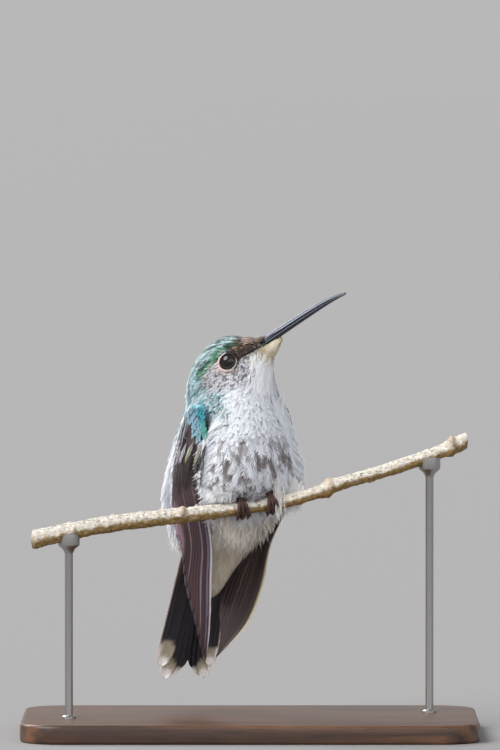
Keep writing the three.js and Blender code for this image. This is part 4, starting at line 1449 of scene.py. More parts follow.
LOCK_SEED = 41
SOFT = Plume(3.6, 0.3, 5, 0.1, 0.0, ragged=0.16)
WISP = Plume(6.0, 0.3, 5, 0.08, 0.0, ragged=0.26)
LOCKS = (
    Lock(
        "lock_breast_right", SOFT,
        (
            (-5.0, None, 67.8), (-7.4, None, 64.6), (-7.6, None, 61.6), (-7.8, None, 56.6),
            (-7.0, None, 53.8), (-5.6, None, 53.0)
        ),
        (
            (-7.6, None, 64.8), (-10.3, None, 60.8), (-11.3, None, 57.6), (-11.5, None, 52.8),
            (-9.8, None, 50.0), (-7.6, None, 49.2)
        ),
        300, ("#eff4fa", "#dfe4ec"), clear=0.2, bow=0.15, face=(-0.35, -0.93, 0.1)
    ),
    Lock(
        "lock_breast_left", SOFT,
        ((4.8, None, 73.0), (6.2, None, 68.0), (7.6, None, 63.6), (8.6, None, 59.5), (9.4, None, 56.0)),
        ((6.0, None, 68.6), (8.1, None, 63.6), (9.5, None, 59.6), (10.6, None, 55.6), (11.3, None, 51.8)),
        420, ("#eef3f9", "#e2e7ef"), clear=0.15, loose=0.5, bow=0.12, face=(0.5, -0.85, 0.1)
    ),
    Lock(
        "lock_side_left", SOFT,
        ((6.0, None, 59.0), (7.4, None, 57.6), (8.6, None, 56.8), (9.4, None, 56.0)),
        ((6.4, None, 52.0), (7.6, None, 51.0), (8.8, None, 50.6), (10.2, None, 51.6)), 200,
        ("#eef3f9", "#dfe3eb"), clear=0.3, loose=0.4, bow=0.12, face=(0.35, -0.9, 0.1)
    ),
    Lock(
        "lock_belly", SOFT,
        ((-7.6, None, 54.0), (-4.0, None, 53.4), (0.0, None, 53.4), (3.5, None, 54.0), (7.0, None, 55.0)),
        ((-7.4, None, 48.9), (-4.0, None, 48.4), (0.0, None, 48.2), (3.5, None, 48.3), (7.4, None, 50.2)),
        320, ("#f3f2f0", "#d0ccce")
    ),
    Lock(
        "lock_over_twig", Plume(7.0, 0.3, 4, 0.07, 0.0, ragged=0.34),
        ((5.2, None, 54.0), (6.8, None, 54.0)), ((5.6, -1.5, 44.8), (6.1, -1.4, 44.6), (6.9, -1.2, 47.0)),
        13, ("#f4f2e8", "#dfdcdc"), loose=0.25, bow=0.5
    ),
    Lock(
        "lock_flank_left", Plume(6.0, 0.45, 5, 0.08, 0.0, ragged=0.34),
        ((8.0, 4.0, 53.6), (10.0, 4.6, 53.4)), ((7.4, 4.2, 46.0), (9.2, 4.6, 45.8), (10.9, 4.8, 47.0)),
        90, ("#ffffff", "#e8e6e6"), loose=0.35, face=(-0.4, -0.6, 0.7)
    ),
    # Painted highlight: the rump's pale fringe is painted near white over the green back, where light
    # glances off it.
    Lock(
        "lock_rump_right", WISP, ((-15.4, 7.4, 50.6), (-14.0, 8.0, 45.6)),
        ((-17.3, 7.0, 43.2), (-15.6, 8.0, 38.8)), 120, ("#edf1f6", "#d3d6e0"), face=(-0.5, -0.85, 0.1)
    ),
    # Painted highlight: the mantle's pale strip is painted near white over the green back, where light
    # glances off it.
    Lock(
        "lock_mantle_right", Plume(6.5, 0.55, 8, 0.14, 0.0, ragged=0.12),
        (
            (-12.0, 7.4, 67.6), (-12.8, 7.4, 66.4), (-13.9, 7.4, 62.0), (-15.2, 7.4, 58.0),
            (-16.2, 7.4, 54.0), (-16.6, 7.6, 50.6)
        ),
        (
            (-13.2, 7.0, 63.6), (-14.9, 7.0, 61.0), (-16.3, 7.0, 56.6), (-17.6, 7.0, 52.4),
            (-18.4, 7.2, 48.4), (-18.0, 7.4, 44.6)
        ),
        300, ("#eaeef6", "#d3d8e4"), loose=0.32, face=(-0.6, -0.8, 0.1)
    ),
    # Painted highlight: the nape's fringe is painted pale blue-white over teal roots.
    Lock(
        "lock_nape", Plume(3.2, 0.4, 6, 0.12, 0.0, ragged=0.12),
        ((-11.2, 9.0, 77.0), (-11.6, 9.0, 74.0), (-11.8, 8.6, 71.0)),
        ((-12.9, 8.8, 73.4), (-13.2, 8.6, 70.6), (-13.2, 8.2, 67.4)), 70, ("#d3e7ee", "#7fb3bb"),
        loose=0.25, face=(-0.8, -0.6, 0.1)
    ),
    Lock(
        "lock_vent", WISP, ((-4.6, None, 47.0), (-2.0, None, 46.0), (1.5, None, 46.4), (4.6, None, 48.0)),
        (
            (-5.0, None, 41.4), (-3.0, None, 39.2), (-0.2, None, 38.4), (2.2, None, 40.2),
            (5.0, None, 43.4)
        ),
        240, ("#fffaee", "#bdb4a8"), clear=1.1, loose=0.7, bow=1.2
    ),
    Lock(
        "lock_chin", Plume(3.2, 0.4, 6, 0.13, 0.0, ragged=0.12),
        (
            (-0.9, -10.0, -0.5), (-0.6, -12.2, -0.6), (0.0, -13.9, -0.75), (0.6, -12.2, -0.6),
            (0.9, -10.0, -0.5)
        ),
        (
            (-2.3, -7.4, -2.6), (-1.6, -9.0, -2.4), (0.0, -10.6, -3.3), (1.6, -9.0, -2.4),
            (2.3, -7.4, -2.6)
        ),
        240, ("#fbf5e4", "#f0e6cb"), loose=0.1, bow=0.1, face=(0.0, -0.5, -0.3), frame=HEAD
    ),
    Lock(
        "lock_throat", Plume(5.6, 0.45, 6, 0.11, 0.0, ragged=0.16),
        ((-3.2, -8.0, -3.2), (0.0, -8.9, -3.4), (3.2, -8.0, -3.2)),
        ((-5.6, -2.2, -7.6), (0.0, -5.8, -9.8), (5.6, -2.2, -7.6)), 300, ("#f1f5fb", "#eef1f6"),
        clear=0.3, loose=1.3, face=(0.0, -0.8, -0.6), frame=HEAD, hug=True
    ),
    Lock(
        "lock_forehead", Plume(2.6, 0.16, 4, 0.08, 0.0, ragged=0.2),
        ((-1.3, -10.2, 0.75), (0.0, -11.2, 1.0), (1.3, -10.2, 0.75)),
        ((-1.9, -7.2, 1.95), (0.0, -7.4, 2.5), (1.9, -7.2, 1.95)), 150, ("#c9b5a8", "#7d685b"),
        loose=0.12, bow=0.05, face=(-0.3, -0.1, 0.9), frame=HEAD
    ),
    Lock(
        "lock_lores", Plume(2.0, 0.14, 3, 0.08, 0.0, ragged=0.2),
        ((-2.4, -8.4, 1.2), (0.0, -9.0, 2.0), (2.4, -8.4, 1.2)),
        ((-2.9, -5.8, 2.2), (0.0, -6.4, 3.0), (2.9, -5.8, 2.2)), 70, ("#bfab9e", "#4f3c33"), clear=0.25,
        loose=0.4, face=(0.0, -0.3, 0.95), frame=HEAD, hug=True
    ),
    *(
        Lock(
            "lock_eye_ring" + end, Plume(0.9, 0.13, 3, 0.08, 0.0, ragged=0.15), round_eye(side, 1.95, 0),
            round_eye(side, 2.12, 24), 150, ("#eadbd4", "#c7aca2"), clear=0.26, loose=0.07, bow=0.0,
            face=(side, 0.0, 0.0), frame=HEAD, hug=True
        )
        for side, end in ((-1, "_right"), (1, "_left"))
    ),
    *(
        Lock(
            "lock_gape" + end, Plume(1.8, 0.15, 3, 0.1, 0.0, ragged=0.1),
            ((side * 2.2, -10.2, 0.0), (side * 3.1, -7.6, -0.1), (side * 4.0, -6.0, 0.0)),
            ((side * 3.2, -8.4, -0.1), (side * 4.1, -6.2, 0.0), (side * 4.9, -4.6, 0.1)), 60,
            ("#191314", "#191314"), clear=0.22, loose=0.05, face=(side * 0.9, -0.3, 0.0), frame=HEAD,
            hug=True
        )
        for side, end in ((-1, "_right"), (1, "_left"))
    )
)


# ---------------------------------------------------------------- wings and tail


@dataclass(frozen=True)
class Quill:
    """One flight feather: how its vanes are shaped. Sizes are in mm."""

    thick: float = 0.09
    shaft: float = 0.16
    shaft_at: float = -0.3  # across the feather, from -1 at its leading edge to 1
    rows: int = 34
    fullness: float = 3.2  # how late it narrows to its tip
    narrows_from: float = 0.55


class Vanes:
    """Flight feathers built together as thin closed vanes, each with a raised shaft."""

    APART = 97.0  # mm along the pattern of barbs from one feather to the next, so that all differ

    def __init__(self, name: str, rng: Chance) -> None:
        """Starts an empty piece.

        Args:
            name: the piece's name.
            rng: the source of chance.
        """
        self.name, self.rng = name, rng
        self.made = Gathered()
        self.count = self.feathers = 0

    def add(
        self, form: Quill, length: float, half: float, spot: Callable[[Array, Array, Array], Array],
        paint: Callable[[Array, Array], Array]
    ) -> None:
        """Adds one feather.

        Args:
            form: its shape.
            length: its length in mm.
            half: half its width in mm.
            spot: places in the bird's frame from shares along, shares across and heights in mm.
            paint: colours (N, 3) from shares along and across.
        """
        left = np.linspace(-1, form.shaft_at - 0.08, 5)
        right = np.linspace(form.shaft_at + 0.08, 1, 7)
        across = np.concatenate([left, [form.shaft_at], right])
        run = 1 - (1 - np.linspace(0, 1, form.rows)) ** 1.25
        narrow = np.clip((run - form.narrows_from) / (1 - form.narrows_from), 0, 1)
        wide = np.maximum(1 - narrow**form.fullness, 0) ** 0.5
        wide = np.maximum(wide * mix(0.8, 1.0, ease(0, 0.35, run)), 0.05)
        s = np.repeat(run[:, None], len(across), 1)
        nick = 1 - 0.05 * np.abs(self.rng.standard_normal(s.shape)) * (np.abs(across) > 0.99)
        a = across * wide[:, None] * nick + form.shaft_at * 0.6 * (1 - wide[:, None])
        body = form.thick * (1 - 0.75 * np.abs(across) ** 2)
        ridge = form.shaft * mix(1.0, 0.35, s) * (np.abs(across - form.shaft_at) < 0.01)
        cup = -0.1 * half * (across - form.shaft_at) ** 2
        top = spot(s, a, cup + body / 2 + ridge * 0.7)
        low = spot(s, a, cup - body / 2 - ridge * 0.7)
        ring = np.concatenate([top, low[:, ::-1]], 1)
        rows, width = ring.shape[:2]
        i, j = np.meshgrid(np.arange(rows - 1), np.arange(width), indexing="ij")
        k = (j + 1) % width
        walls = np.stack([i * width + j, i * width + k, (i + 1) * width + k, (i + 1) * width + j], -1)
        n = np.arange(len(across) - 1)
        ends = []
        for row, flip in ((0, 1), (rows - 1, -1)):
            cap = np.stack([n, width - 1 - n, width - 2 - n, n + 1], -1)[:, ::flip] + row * width
            ends.append(cap)
        quads = np.concatenate([walls.reshape(-1, 4), *ends])
        tone = paint(s, across * np.ones_like(s))
        bare = (np.abs(across - form.shaft_at) < 0.01)[None, :, None]
        tone = np.where(bare, tone * 1.5 + 0.02, tone)
        barbs = s * length - np.abs(a - form.shaft_at) * half * 1.7
        tints = np.concatenate([tone, tone[:, ::-1]], 1).reshape(-1, 3)
        ribs = np.concatenate([barbs, barbs[:, ::-1]], 1).ravel() + self.APART * self.feathers
        self.made.put(points=ring.reshape(-1, 3), quads=quads + self.count, tints=tints, ribs=ribs)
        self.count += ring.shape[0] * ring.shape[1]
        self.feathers += 1

    def piece(self) -> Piece:
        """All feathers so far as one object."""
        piece = mesh_of(
            self.name, moved(self.made.all("points"), BIRD), self.made.all("quads"),
            {"tint": np.clip(self.made.all("tints"), 0, 1)}, {"rib": self.made.all("ribs")}
        )
        take(piece)
        with editing():
            face_outwards()
        piece.data.shade_smooth()
        return piece


@dataclass(frozen=True)
class CovertRow:
    """A row of coverts across a closed wing."""

    along: tuple[float, float]  # where roots and tips lie, as shares of the wing
    across: tuple[float, float]  # where the first and the last lie
    count: int
    width: float  # as a share of the kind's
    height: float  # over the arm, in mm


GREATER_COVERTS = (
    CovertRow((0.2, 0.345), (0.04, 0.97), 15, 1.2, 0.12),
    CovertRow((0.06, 0.24), (0.66, 0.98), 4, 1.3, 0.2), CovertRow((0.01, 0.17), (0.7, 0.95), 3, 1.2, 0.3),
    CovertRow((0.16, 0.28), (0.04, 0.3), 5, 1.1, 0.25)
)
MEDIAN_COVERTS = (
    CovertRow((0.16, 0.255), (0.12, 0.72), 4, 1.0, 0.42),
    CovertRow((0.02, 0.2), (0.62, 0.84), 2, 0.16, 0.45)
)


@dataclass
class Wing:
    """A closed wing: a curved sheet that its quills lie in, and rows of coverts over their roots.

    lead and trail are the sheet's edges, from wrist to wing tip: outwards, forward, height.
    """

    name: str
    side: int  # -1 for the right wing
    lead: Line
    trail: Line
    seed: int
    length: float = 55.0
    camber: float = 0.7
    arm_until: float = 0.52
    primary_ends: tuple[float, ...] = (1.0, 0.985, 0.955, 0.915, 0.87, 0.82, 0.77, 0.72, 0.675, 0.635)
    secondary_ends: tuple[float, ...] = (0.6, 0.58, 0.56, 0.545, 0.53)
    edges: dict[int, tuple[str, float]] = field(default_factory=dict)  # pale leading edges by rank
    last_across: float = 0.62
    breadth: float = 0.28
    vane: tuple[str, str] = ("#352a2d", "#4d3d49")
    inner: float = 0.0  # how worn and pale the trailing edges are

    def place(self, along: Array, across: Array) -> Array:
        """Places on the sheet, in the bird's frame."""
        within = np.clip(along, 0, 1)
        row = mix(self.lead.at(within), self.trail.at(within), np.asarray(across)[..., None])
        bow = self.camber * 4 * across * (1 - across)
        drop = (along - within) * self.length
        return np.stack([self.side * (row[..., 0] + bow), -row[..., 1], row[..., 2] - drop], -1)

    def out(self, along: Array, across: Array) -> Array:
        """Outward unit normals of the sheet."""
        s = np.clip(along, 0.01, 0.99)
        down = self.place(s + 0.01, across) - self.place(s - 0.01, across)
        over = self.place(s, across + 0.01) - self.place(s, across - 0.01)
        made = unit(np.cross(down, over))
        return made * np.sign(made[..., :1] * self.side)

    def arm_height(self, along: Array, across: Array) -> Array:
        """How far the covered arm stands out of the sheet, in mm."""
        t = np.clip(along / self.arm_until, 0, 1)
        bulk = mix(2.0, 0.75, t * t) / 2
        crown = mix(0.35, 1.0, np.sin(np.pi * np.clip(across, 0, 1)))
        round_off = ease(-0.035, 0.05, along)
        return (0.25 + crown * bulk) * round_off

    def lifted(self, along: Array, across: Array, height: Array) -> Array:
        """Places at a height over the sheet."""
        return self.place(along, across) + self.out(along, across) * np.asarray(height)[..., None]

    def build(self, vane: Finish, plumage: Finish) -> list[Piece]:
        """Builds the wing.

        Args:
            vane: the finish of its quills.
            plumage: the finish of its coverts.

        Returns:
            The pieces.
        """
        rng = np.random.default_rng(self.seed)
        quills = keep(self.quills(rng), vane, "plumage_flight", self.name)
        return [quills, keep(self.coverts(rng), plumage, "plumage_body")]

    def quills(self, rng: Chance) -> Piece:
        """Primaries and secondaries, each over the next one out, and the arm under their roots."""
        vanes = Vanes(self.name + "_quills", rng)
        primaries = len(self.primary_ends)
        rows = [
            (end, self.last_across * i / (primaries - 1), self.breadth, 0.12 * i)
            for i, end in enumerate(self.primary_ends)
        ]
        last = len(self.secondary_ends) - 1
        rows += [
            (end, 0.66 + 0.16 * i / last, 0.2, 0.12 * primaries - 0.1 + 0.1 * i)
            for i, end in enumerate(self.secondary_ends)
        ]
        for rank, (end, first, width, lift) in enumerate(rows):
            self._quill(vanes, rank, end, first, width, lift)
        self._arm(vanes)
        return vanes.piece()

    def _quill(
        self, vanes: Vanes, rank: int, end: float, first: float, width: float, lift: float
    ) -> None:
        """Adds one quill.

        Args:
            vanes: what it is added to.
            rank: its number from the leading edge.
            end: where it ends, as a share of the wing.
            first: where its leading edge lies across the wing.
            width: its width across the wing, as a share.
            lift: its height over the sheet near its tip, in mm.
        """
        start = 0.14
        middle = first + width / 2

        def spot(s: Array, a: Array, height: Array) -> Array:
            """Places on this quill."""
            along = mix(start, end, s)
            across = middle + a * width / 2
            shaft = middle * np.ones_like(along)
            root = self.arm_height(along, shaft) - 0.45
            base = mix(root, lift + 0.12, ease(0.25, 0.5, along))
            return self.place(along, across) + self.out(along, shaft) * (base + height)[..., None]

        code, strength = self.edges.get(rank, ("#8a7680", float(vanes.rng.uniform(0.05, 0.3))))
        depth, bright = vanes.rng.uniform((0.8, 0.3), (1.15, 1.0)).tolist()

        def paint(s: Array, a: Array) -> Array:
            """Dusky brown vanes, each with a leading edge of its own."""
            tone = depth * toned(linear(self.vane[0]), self.vane[1], ease(0.1, -0.9, a) * 0.8)
            tone = toned(tone, self.vane[1], 0.5 * ease(0.75, 1.0, s))
            if rank >= len(self.primary_ends):
                tone = toned(tone, "#96788a", 0.95 * ease(0.62, 0.94, s))
            worn = self.inner * bright * ease(0.2, 0.8, a) * ease(0.05, 0.4, s) * ease(0.95, 0.5, s)
            tone = toned(tone, "#8b7b71", worn)
            return toned(tone, code, ease(-0.62, -0.8, a) * strength * ease(1.0, 0.9, s))

        form = Quill(fullness=2.6 if rank < len(self.primary_ends) else 3.4, narrows_from=0.6)
        vanes.add(form, (end - start) * self.length, width * 5.0, spot, paint)

    def _arm(self, vanes: Vanes) -> None:
        """The arm under the coverts: a low closed form, dark with down."""

        def spot(s: Array, a: Array, height: Array) -> Array:
            """Places on the arm."""
            along = mix(-0.01, 0.4, s)
            across = 0.5 + a * 0.47
            thick = self.arm_height(along, across) * (1 - ease(0.7, 1.0, s)) - 0.35
            rise = np.where(height > 0, thick, -0.35)
            return self.lifted(along, across, rise)

        def paint(s: Array, a: Array) -> Array:
            """Dark down, teal at the wrist."""
            return toned(linear("#3f8b9c"), "#33282a", ease(0.02, 0.16, s))

        vanes.add(Quill(shaft=0.0, thick=0.2, narrows_from=0.9), 22.0, 4.0, spot, paint)

    def coverts(self, rng: Chance) -> Piece:
        """Rows of coverts, from the long ones over the quills' roots up to small scales."""
        kind = Plume(3.0, 0.55, 8, 0.13, 0.0, ragged=0.06)
        tufts = Tufts(self.name + "_coverts", kind, rng)
        for rows, colours in ((GREATER_COVERTS, self._dusky), (MEDIAN_COVERTS, self._long)):
            for row in rows:
                self._row(tufts, row, colours)
        for step in range(10):
            start = 0.115 - 0.0125 * step
            shift = 0.03 * (step % 2)
            last = np.interp(step, [0, 5, 9], [0.3, 0.38, 0.56])
            scales = CovertRow((start, start + 0.04), (0.02 + shift, last), 8, 0.8, 0.5)
            self._row(tufts, scales, self._scale)
        return tufts.piece()

    def _row(
        self, tufts: Tufts, row: CovertRow,
        colours: Callable[[Array, Array], tuple[Array, Array, Array, Array]]
    ) -> None:
        """Adds a row of coverts across the wing.

        Args:
            tufts: what they are added to.
            row: the row.
            colours: tip, root and edge colours and gloss, from places across and along.
        """
        rng = tufts.rng
        start, end = row.along
        across = np.linspace(*row.across, row.count) + 0.01 * rng.standard_normal(row.count)
        ends = end + 0.012 * rng.standard_normal(row.count) + 0.02 * (across - 0.5)
        share = np.linspace(0, 1, 4)
        along = mix(start, ends[:, None], share)
        wide = across[:, None] + 0.03 * share * rng.standard_normal((row.count, 1))
        rise = self.arm_height(along, wide) + row.height + np.array([-0.5, -0.12, 0.0, 0.05])
        line = self.lifted(along, wide, rise)
        ups = self.out(along, wide)
        tip, root, edge, shine = colours(across, along[:, -1])
        map_spots = np.stack([0.1 + 0.8 * across, 0.95 - 2.0 * along[:, 0]], 1)
        tufts.grow(line, ups, tip, root, shine, map_spots, row.width, edge)

    def _scale(self, across: Array, along: Array) -> tuple[Array, Array, Array, Array]:
        """Lesser coverts: teal at the leading edge, turning green lower, pale blue behind."""
        part = mix(0.33, 0.1, np.clip(along / 0.15, 0, 1))
        front = ease(part + 0.05, part - 0.05, across)[:, None]
        low = ease(0.07, 0.13, along)[:, None]
        bright = mix(linear("#3fa3b4"), linear("#5fae9f"), low)
        tip = mix(linear("#8fb6c8"), bright, front)
        root = mix(linear("#2c3c4a"), linear("#12343a"), front)
        edge = mix(linear("#5c7f93"), mix(bright, linear("#0e5a66"), 0.5), front)
        return tip, root, edge, np.full(len(across), 0.45)

    def _long(self, across: Array, along: Array) -> tuple[Array, Array, Array, Array]:
        """Median coverts: grey-lilac with white edges, and olive tips in the middle."""
        olive = (ease(0.08, 0.14, across) * ease(0.5, 0.38, across))[:, None]
        tip = mix(linear("#a59fa6"), linear("#7f8f3a"), olive * 0.9)
        root = np.ones((len(across), 1)) * linear("#7d7480")
        edge = np.ones((len(across), 1)) * linear("#d5d1d8")
        return tip, root, edge, np.full(len(across), 0.1)

    def _dusky(self, across: Array, along: Array) -> tuple[Array, Array, Array, Array]:
        """Greater coverts: dusky, with thin paler edges."""
        one = np.ones((len(across), 1))
        dark = one * linear("#241a1a")
        pale = ease(0.2, 0.5, across)[:, None] * ease(0.2, 0.3, along)[:, None]
        return dark, dark, mix(dark, linear("#8f7f83"), 0.3 * pale), np.zeros(len(across))


RIGHT_WING = {
    "name": "wing_right", "side": -1,
    "lead": Line(
        [
            [8.9, 5.2, 69.2], [9.6, 7.6, 62.5], [11.3, 7.4, 55.0], [8.8, 4.7, 48.0], [6.2, 2.4, 40.0],
            [4.6, -0.7, 31.5], [2.9, -4.2, 22.5], [1.5, -8.0, 14.2]
        ]
    ),
    "trail": Line(
        [
            [9.3, -2.0, 68.6], [11.2, -1.8, 62.0], [12.9, -1.8, 55.0], [12.2, -2.2, 47.5],
            [9.6, -4.5, 39.5], [7.6, -10.2, 30.5], [5.6, -11.8, 23.0], [4.0, -12.8, 16.0]
        ]
    ),
    "seed": 21, "vane": ("#302323", "#453336"),
    "edges": {
        0: ("#dcd8e0", 0.9), 1: ("#85849f", 0.7), 2: ("#4f4048", 0.4), 3: ("#b9a3b4", 0.55),
        7: ("#c2aab2", 0.5), 10: ("#cdb5ba", 0.3), 12: ("#cdb5ba", 0.35), 13: ("#d8c4c8", 0.1),
        14: ("#d8c4c8", 0.85)
    }
}
LEFT_WING = {
    "name": "wing_left", "side": 1,
    "lead": Line(
        [
            [10.2, 2.6, 69.2], [12.0, 2.8, 62.5], [13.2, 2.6, 55.0], [12.4, 1.8, 48.0], [9.0, 0.5, 39.5],
            [8.5, -2.3, 30.0], [6.6, -5.4, 22.0], [1.2, -8.8, 14.9]
        ]
    ),
    "trail": Line(
        [
            [10.4, -3.0, 68.6], [12.2, -4.5, 61.0], [13.3, -6.0, 53.0], [11.8, -8.4, 45.5],
            [6.6, -12.6, 38.0], [1.4, -14.8, 30.5], [-1.8, -14.2, 23.0], [-2.2, -12.6, 16.4]
        ]
    ),
    "seed": 22, "vane": ("#382c2a", "#493a37"),
    "edges": {
        0: ("#e6dcb8", 1.0), 1: ("#75664c", 0.9), 2: ("#6b5a52", 0.6), 3: ("#77675f", 0.8),
        5: ("#8a766c", 0.8), 7: ("#7a6a66", 0.8)
    },
    "primary_ends": (1.0, 0.985, 0.965, 0.94, 0.91, 0.87, 0.81, 0.745, 0.685, 0.635), "last_across": 0.66,
    "breadth": 0.36, "inner": 0.6
}


@dataclass
class Tail:
    """Ten tail feathers in a slight fan, the outer ones under the inner, with pale tips."""

    root: tuple[float, float, float] = (0.0, 10.9, 42.5)
    slope: float = 13.5  # degrees back from straight down
    lean: float = 3.5  # degrees over to the right
    apart: float = 0.8
    spread: float = 0.65  # degrees between neighbours
    step: float = 0.2
    open: float = 2.0  # degrees more on the right's outer feathers
    lengths: tuple[float, ...] = (29.6, 31.2, 32.6, 33.2, 30.4)  # from the middle outwards
    width: float = 4.3
    seed: int = 31

    def spot(self, rank: int, side: int, length: Array, out: Array, lift: Array) -> Array:
        """A place on the tail: down one feather, out from its middle and towards the belly."""
        turn = math.radians(side * (rank + 0.5) * self.spread - self.lean)
        turn -= math.radians(self.open) * (side < 0) * (rank / 4) ** 2
        slope = math.radians(self.slope)
        down = np.array([0, math.sin(slope), -math.cos(slope)])
        belly = np.array([0, -math.cos(slope), -math.sin(slope)])
        across = np.array([1.0, 0, 0])
        made = np.array(self.root) + across * (side * (rank + 0.4) * self.apart)
        run = length * math.cos(turn) - out * math.sin(turn)
        wide = length * math.sin(turn) + out * math.cos(turn)
        return made + run[..., None] * down + wide[..., None] * across + lift[..., None] * belly

    def build(self, vane: Finish, plumage: Finish) -> list[Piece]:
        """Builds the tail feathers and the coverts over and under their roots.

        Args:
            vane: the finish of the quills.
            plumage: the finish of the coverts.

        Returns:
            The pieces.
        """
        rng = np.random.default_rng(self.seed)
        vanes = Vanes("tail_quills", rng)
        for rank in range(5):
            for side in (-1, 1):
                self._feather(vanes, rank, side)
        quills = keep(vanes.piece(), vane, "plumage_flight", "tail")
        return [quills, keep(self._coverts(rng), plumage, "plumage_body")]

    def _feather(self, vanes: Vanes, rank: int, side: int) -> None:
        """Adds one tail feather.

        Args:
            vanes: what it is added to.
            rank: its number from the middle.
            side: -1 on the right.
        """
        lift = (rank + (0.5 if side > 0 else 0)) * self.step
        half = self.width / 2
        length = self.lengths[rank]

        def spot(s: Array, a: Array, height: Array) -> Array:
            """Places on this feather; -1 across is its outer edge."""
            return self.spot(rank, side, s * length, -a * side * half, lift - height)

        def paint(s: Array, a: Array) -> Array:
            """Blue-black, with a cream or white tip on the outer ones and a pale outer edge."""
            tone = toned(linear("#241d20"), "#1f2a30", 0.5 * ease(0.2, 0.8, s))
            if rank >= 3:
                bent = s + 0.03 * np.cos(a * 2.2)
                begin = 0.87 if rank == 3 or side > 0 else 0.815
                tone = toned(tone, "#ada38e", ease(begin + 0.01, begin + 0.045, bent))
                outer = ease(begin, 0.88, s) * ease(-0.45, -0.7, a)
                tone = toned(tone, "#fcfaf6", np.maximum(ease(0.945, 0.975, bent), outer))
            elif rank == 2:
                tone = toned(tone, "#f2ede2", ease(0.93, 0.965, s))
            tone = toned(tone, "#e6d6cf", ease(-0.76, -0.9, a) * (0.9 if rank == 4 else 0.3))
            warm = ease(-0.3, -0.8, a) * ease(0.45, 0.2, s) * (rank == 4)
            return toned(tone, "#8a5a34", 0.6 * warm)

        form = Quill(fullness=3.0, narrows_from=0.8, shaft=0.2, shaft_at=-0.35)
        vanes.add(form, length, half, spot, paint)

    def _coverts(self, rng: Chance) -> Piece:
        """Green coverts over the roots of the tail, and cream ones under them."""
        kind = Plume(6.0, 1.2, 9, 0.24, 0.0, ragged=0.05)
        tufts = Tufts("tail_coverts", kind, rng)
        share = np.linspace(0, 1, 4)
        rows = [(8.0, 14.2), (5.0, 12.0), (2.0, 9.5), (-1.0, 6.5)]
        for face in (-1, 1):
            for number, (start, end) in enumerate(rows):
                count = 8 - number % 2
                out = np.linspace(-4.0, 4.0, count) * mix(0.8, 1.0, start / 10)
                ends = end - 0.22 * np.abs(out) ** 1.5 + 0.4 * rng.standard_normal(count)
                run = mix(start - 2.0, ends[:, None], share)
                wide = out[:, None] * mix(0.8, 1.0, share)
                under = 1.25 if face > 0 else -0.3
                clear = face * (0.15 + 0.12 * number + np.array([-0.1, 0.1, 0.15, 0.18]))
                lift = under + np.ones_like(run) * clear
                line = self.spot(0, 1, run, wide, lift) - np.array([0.3, 0, 0])
                steep = 0.236  # the tail's slope in radians
                normal = np.array([0.0, -math.cos(steep), -math.sin(steep)]) * face
                ups = np.broadcast_to(normal, line.shape)
                one = np.ones((count, 1))
                tip = one * (linear("#efe7d2") if face > 0 else linear("#3f7f5c"))
                root = one * (linear("#cfc6b2") if face > 0 else linear("#2a3a33"))
                shine = np.full(count, 0.0 if face > 0 else 0.8)
                spots = np.stack([0.5 + 0.05 * out, np.full(count, 0.5 + 0.02 * start)], 1)
                spots[:, 0] = mix(0.02, 0.48, spots[:, 0]) + (0.5 if face > 0 else 0.0)
                tufts.grow(line, ups, tip, root, shine, spots)
        return tufts.piece()


# ---------------------------------------------------------------- eyes, bill and feet


@dataclass
class Eye:
    """A round glass eye with a low lid ring of bare skin."""

    side: int  # -1 for the right eye
    opening: float = 1.6  # radius of the ring
    lid: float = 0.17
    shape: tuple[float, float] = (1.03, 0.88)  # how wide and tall the ring is for its radius
    cornea: float = 0.02  # how far it bulges, as a share of the radius
    raised: float = 0.1  # of the lid over the ball, in mm

    @property
    def name(self) -> str:
        """The CAD node's name."""
        return "eye_right" if self.side < 0 else "eye_left"

    def frame(self) -> Matrix:
        """From an eye that looks along +Z to its place in the head, in mm."""
        centre = Matrix.Translation((self.side * EYE["side"], -EYE["forward"], EYE["up"]))
        look = Vector((self.side, -0.12, 0.1)).to_track_quat("Z", "Y").to_matrix().to_4x4()
        return BIRD @ HEAD @ centre @ look

    def build(self, glass: Finish, skin: Finish) -> list[Piece]:
        """Models the ball with its cornea, and the lid.

        Args:
            glass: the eye's finish.
            skin: the lid's finish.

        Returns:
            The pieces.
        """
        clear_bench()
        bpy.ops.mesh.primitive_uv_sphere_add(segments=48, ring_count=32, radius=EYE["radius"] * MM)
        ball = fresh(self.name + "_ball")
        points = points_of(ball)
        tilt = np.arctan2(np.hypot(points[:, 0], points[:, 1]), points[:, 2])
        bulge = 1 + self.cornea * ease(math.radians(34), math.radians(20), tilt)
        set_points(ball, points * bulge[:, None])
        set_attributes(ball.data, {}, {"ring": tilt / (math.pi / 2)})
        ball.data.shade_smooth()
        set_down(ball, self.frame())
        clear_bench()
        height = math.sqrt(EYE["radius"] ** 2 - self.opening**2) + self.raised
        bpy.ops.mesh.primitive_torus_add(
            major_segments=48, minor_segments=14, major_radius=self.opening * MM,
            minor_radius=self.lid * MM, location=(0, 0, height * MM)
        )
        lid = fresh(self.name.replace("eye", "lid"))
        wide, tall = self.shape
        with editing():
            bpy.ops.transform.resize(value=(wide, tall, 1.0), center_override=(0, 0, height * MM))
        bpy.ops.object.transform_apply(location=True)
        points = points_of(lid)
        turn = np.arctan2(points[:, 0] / wide, points[:, 1] / tall)
        ring = self.opening * np.hypot(wide * np.sin(turn), tall * np.cos(turn))
        points[:, 2] += np.sqrt(EYE["radius"] ** 2 - ring**2) - (height - self.raised)
        points[:, 2] += 0.03 * np.cos(turn * 18) * (np.hypot(*points.T[:2]) > ring)
        set_points(lid, points)
        lid.data.shade_smooth()
        set_down(lid, self.frame())
        return [keep(ball, glass, "eye", self.name), keep(lid, skin, "foot")]


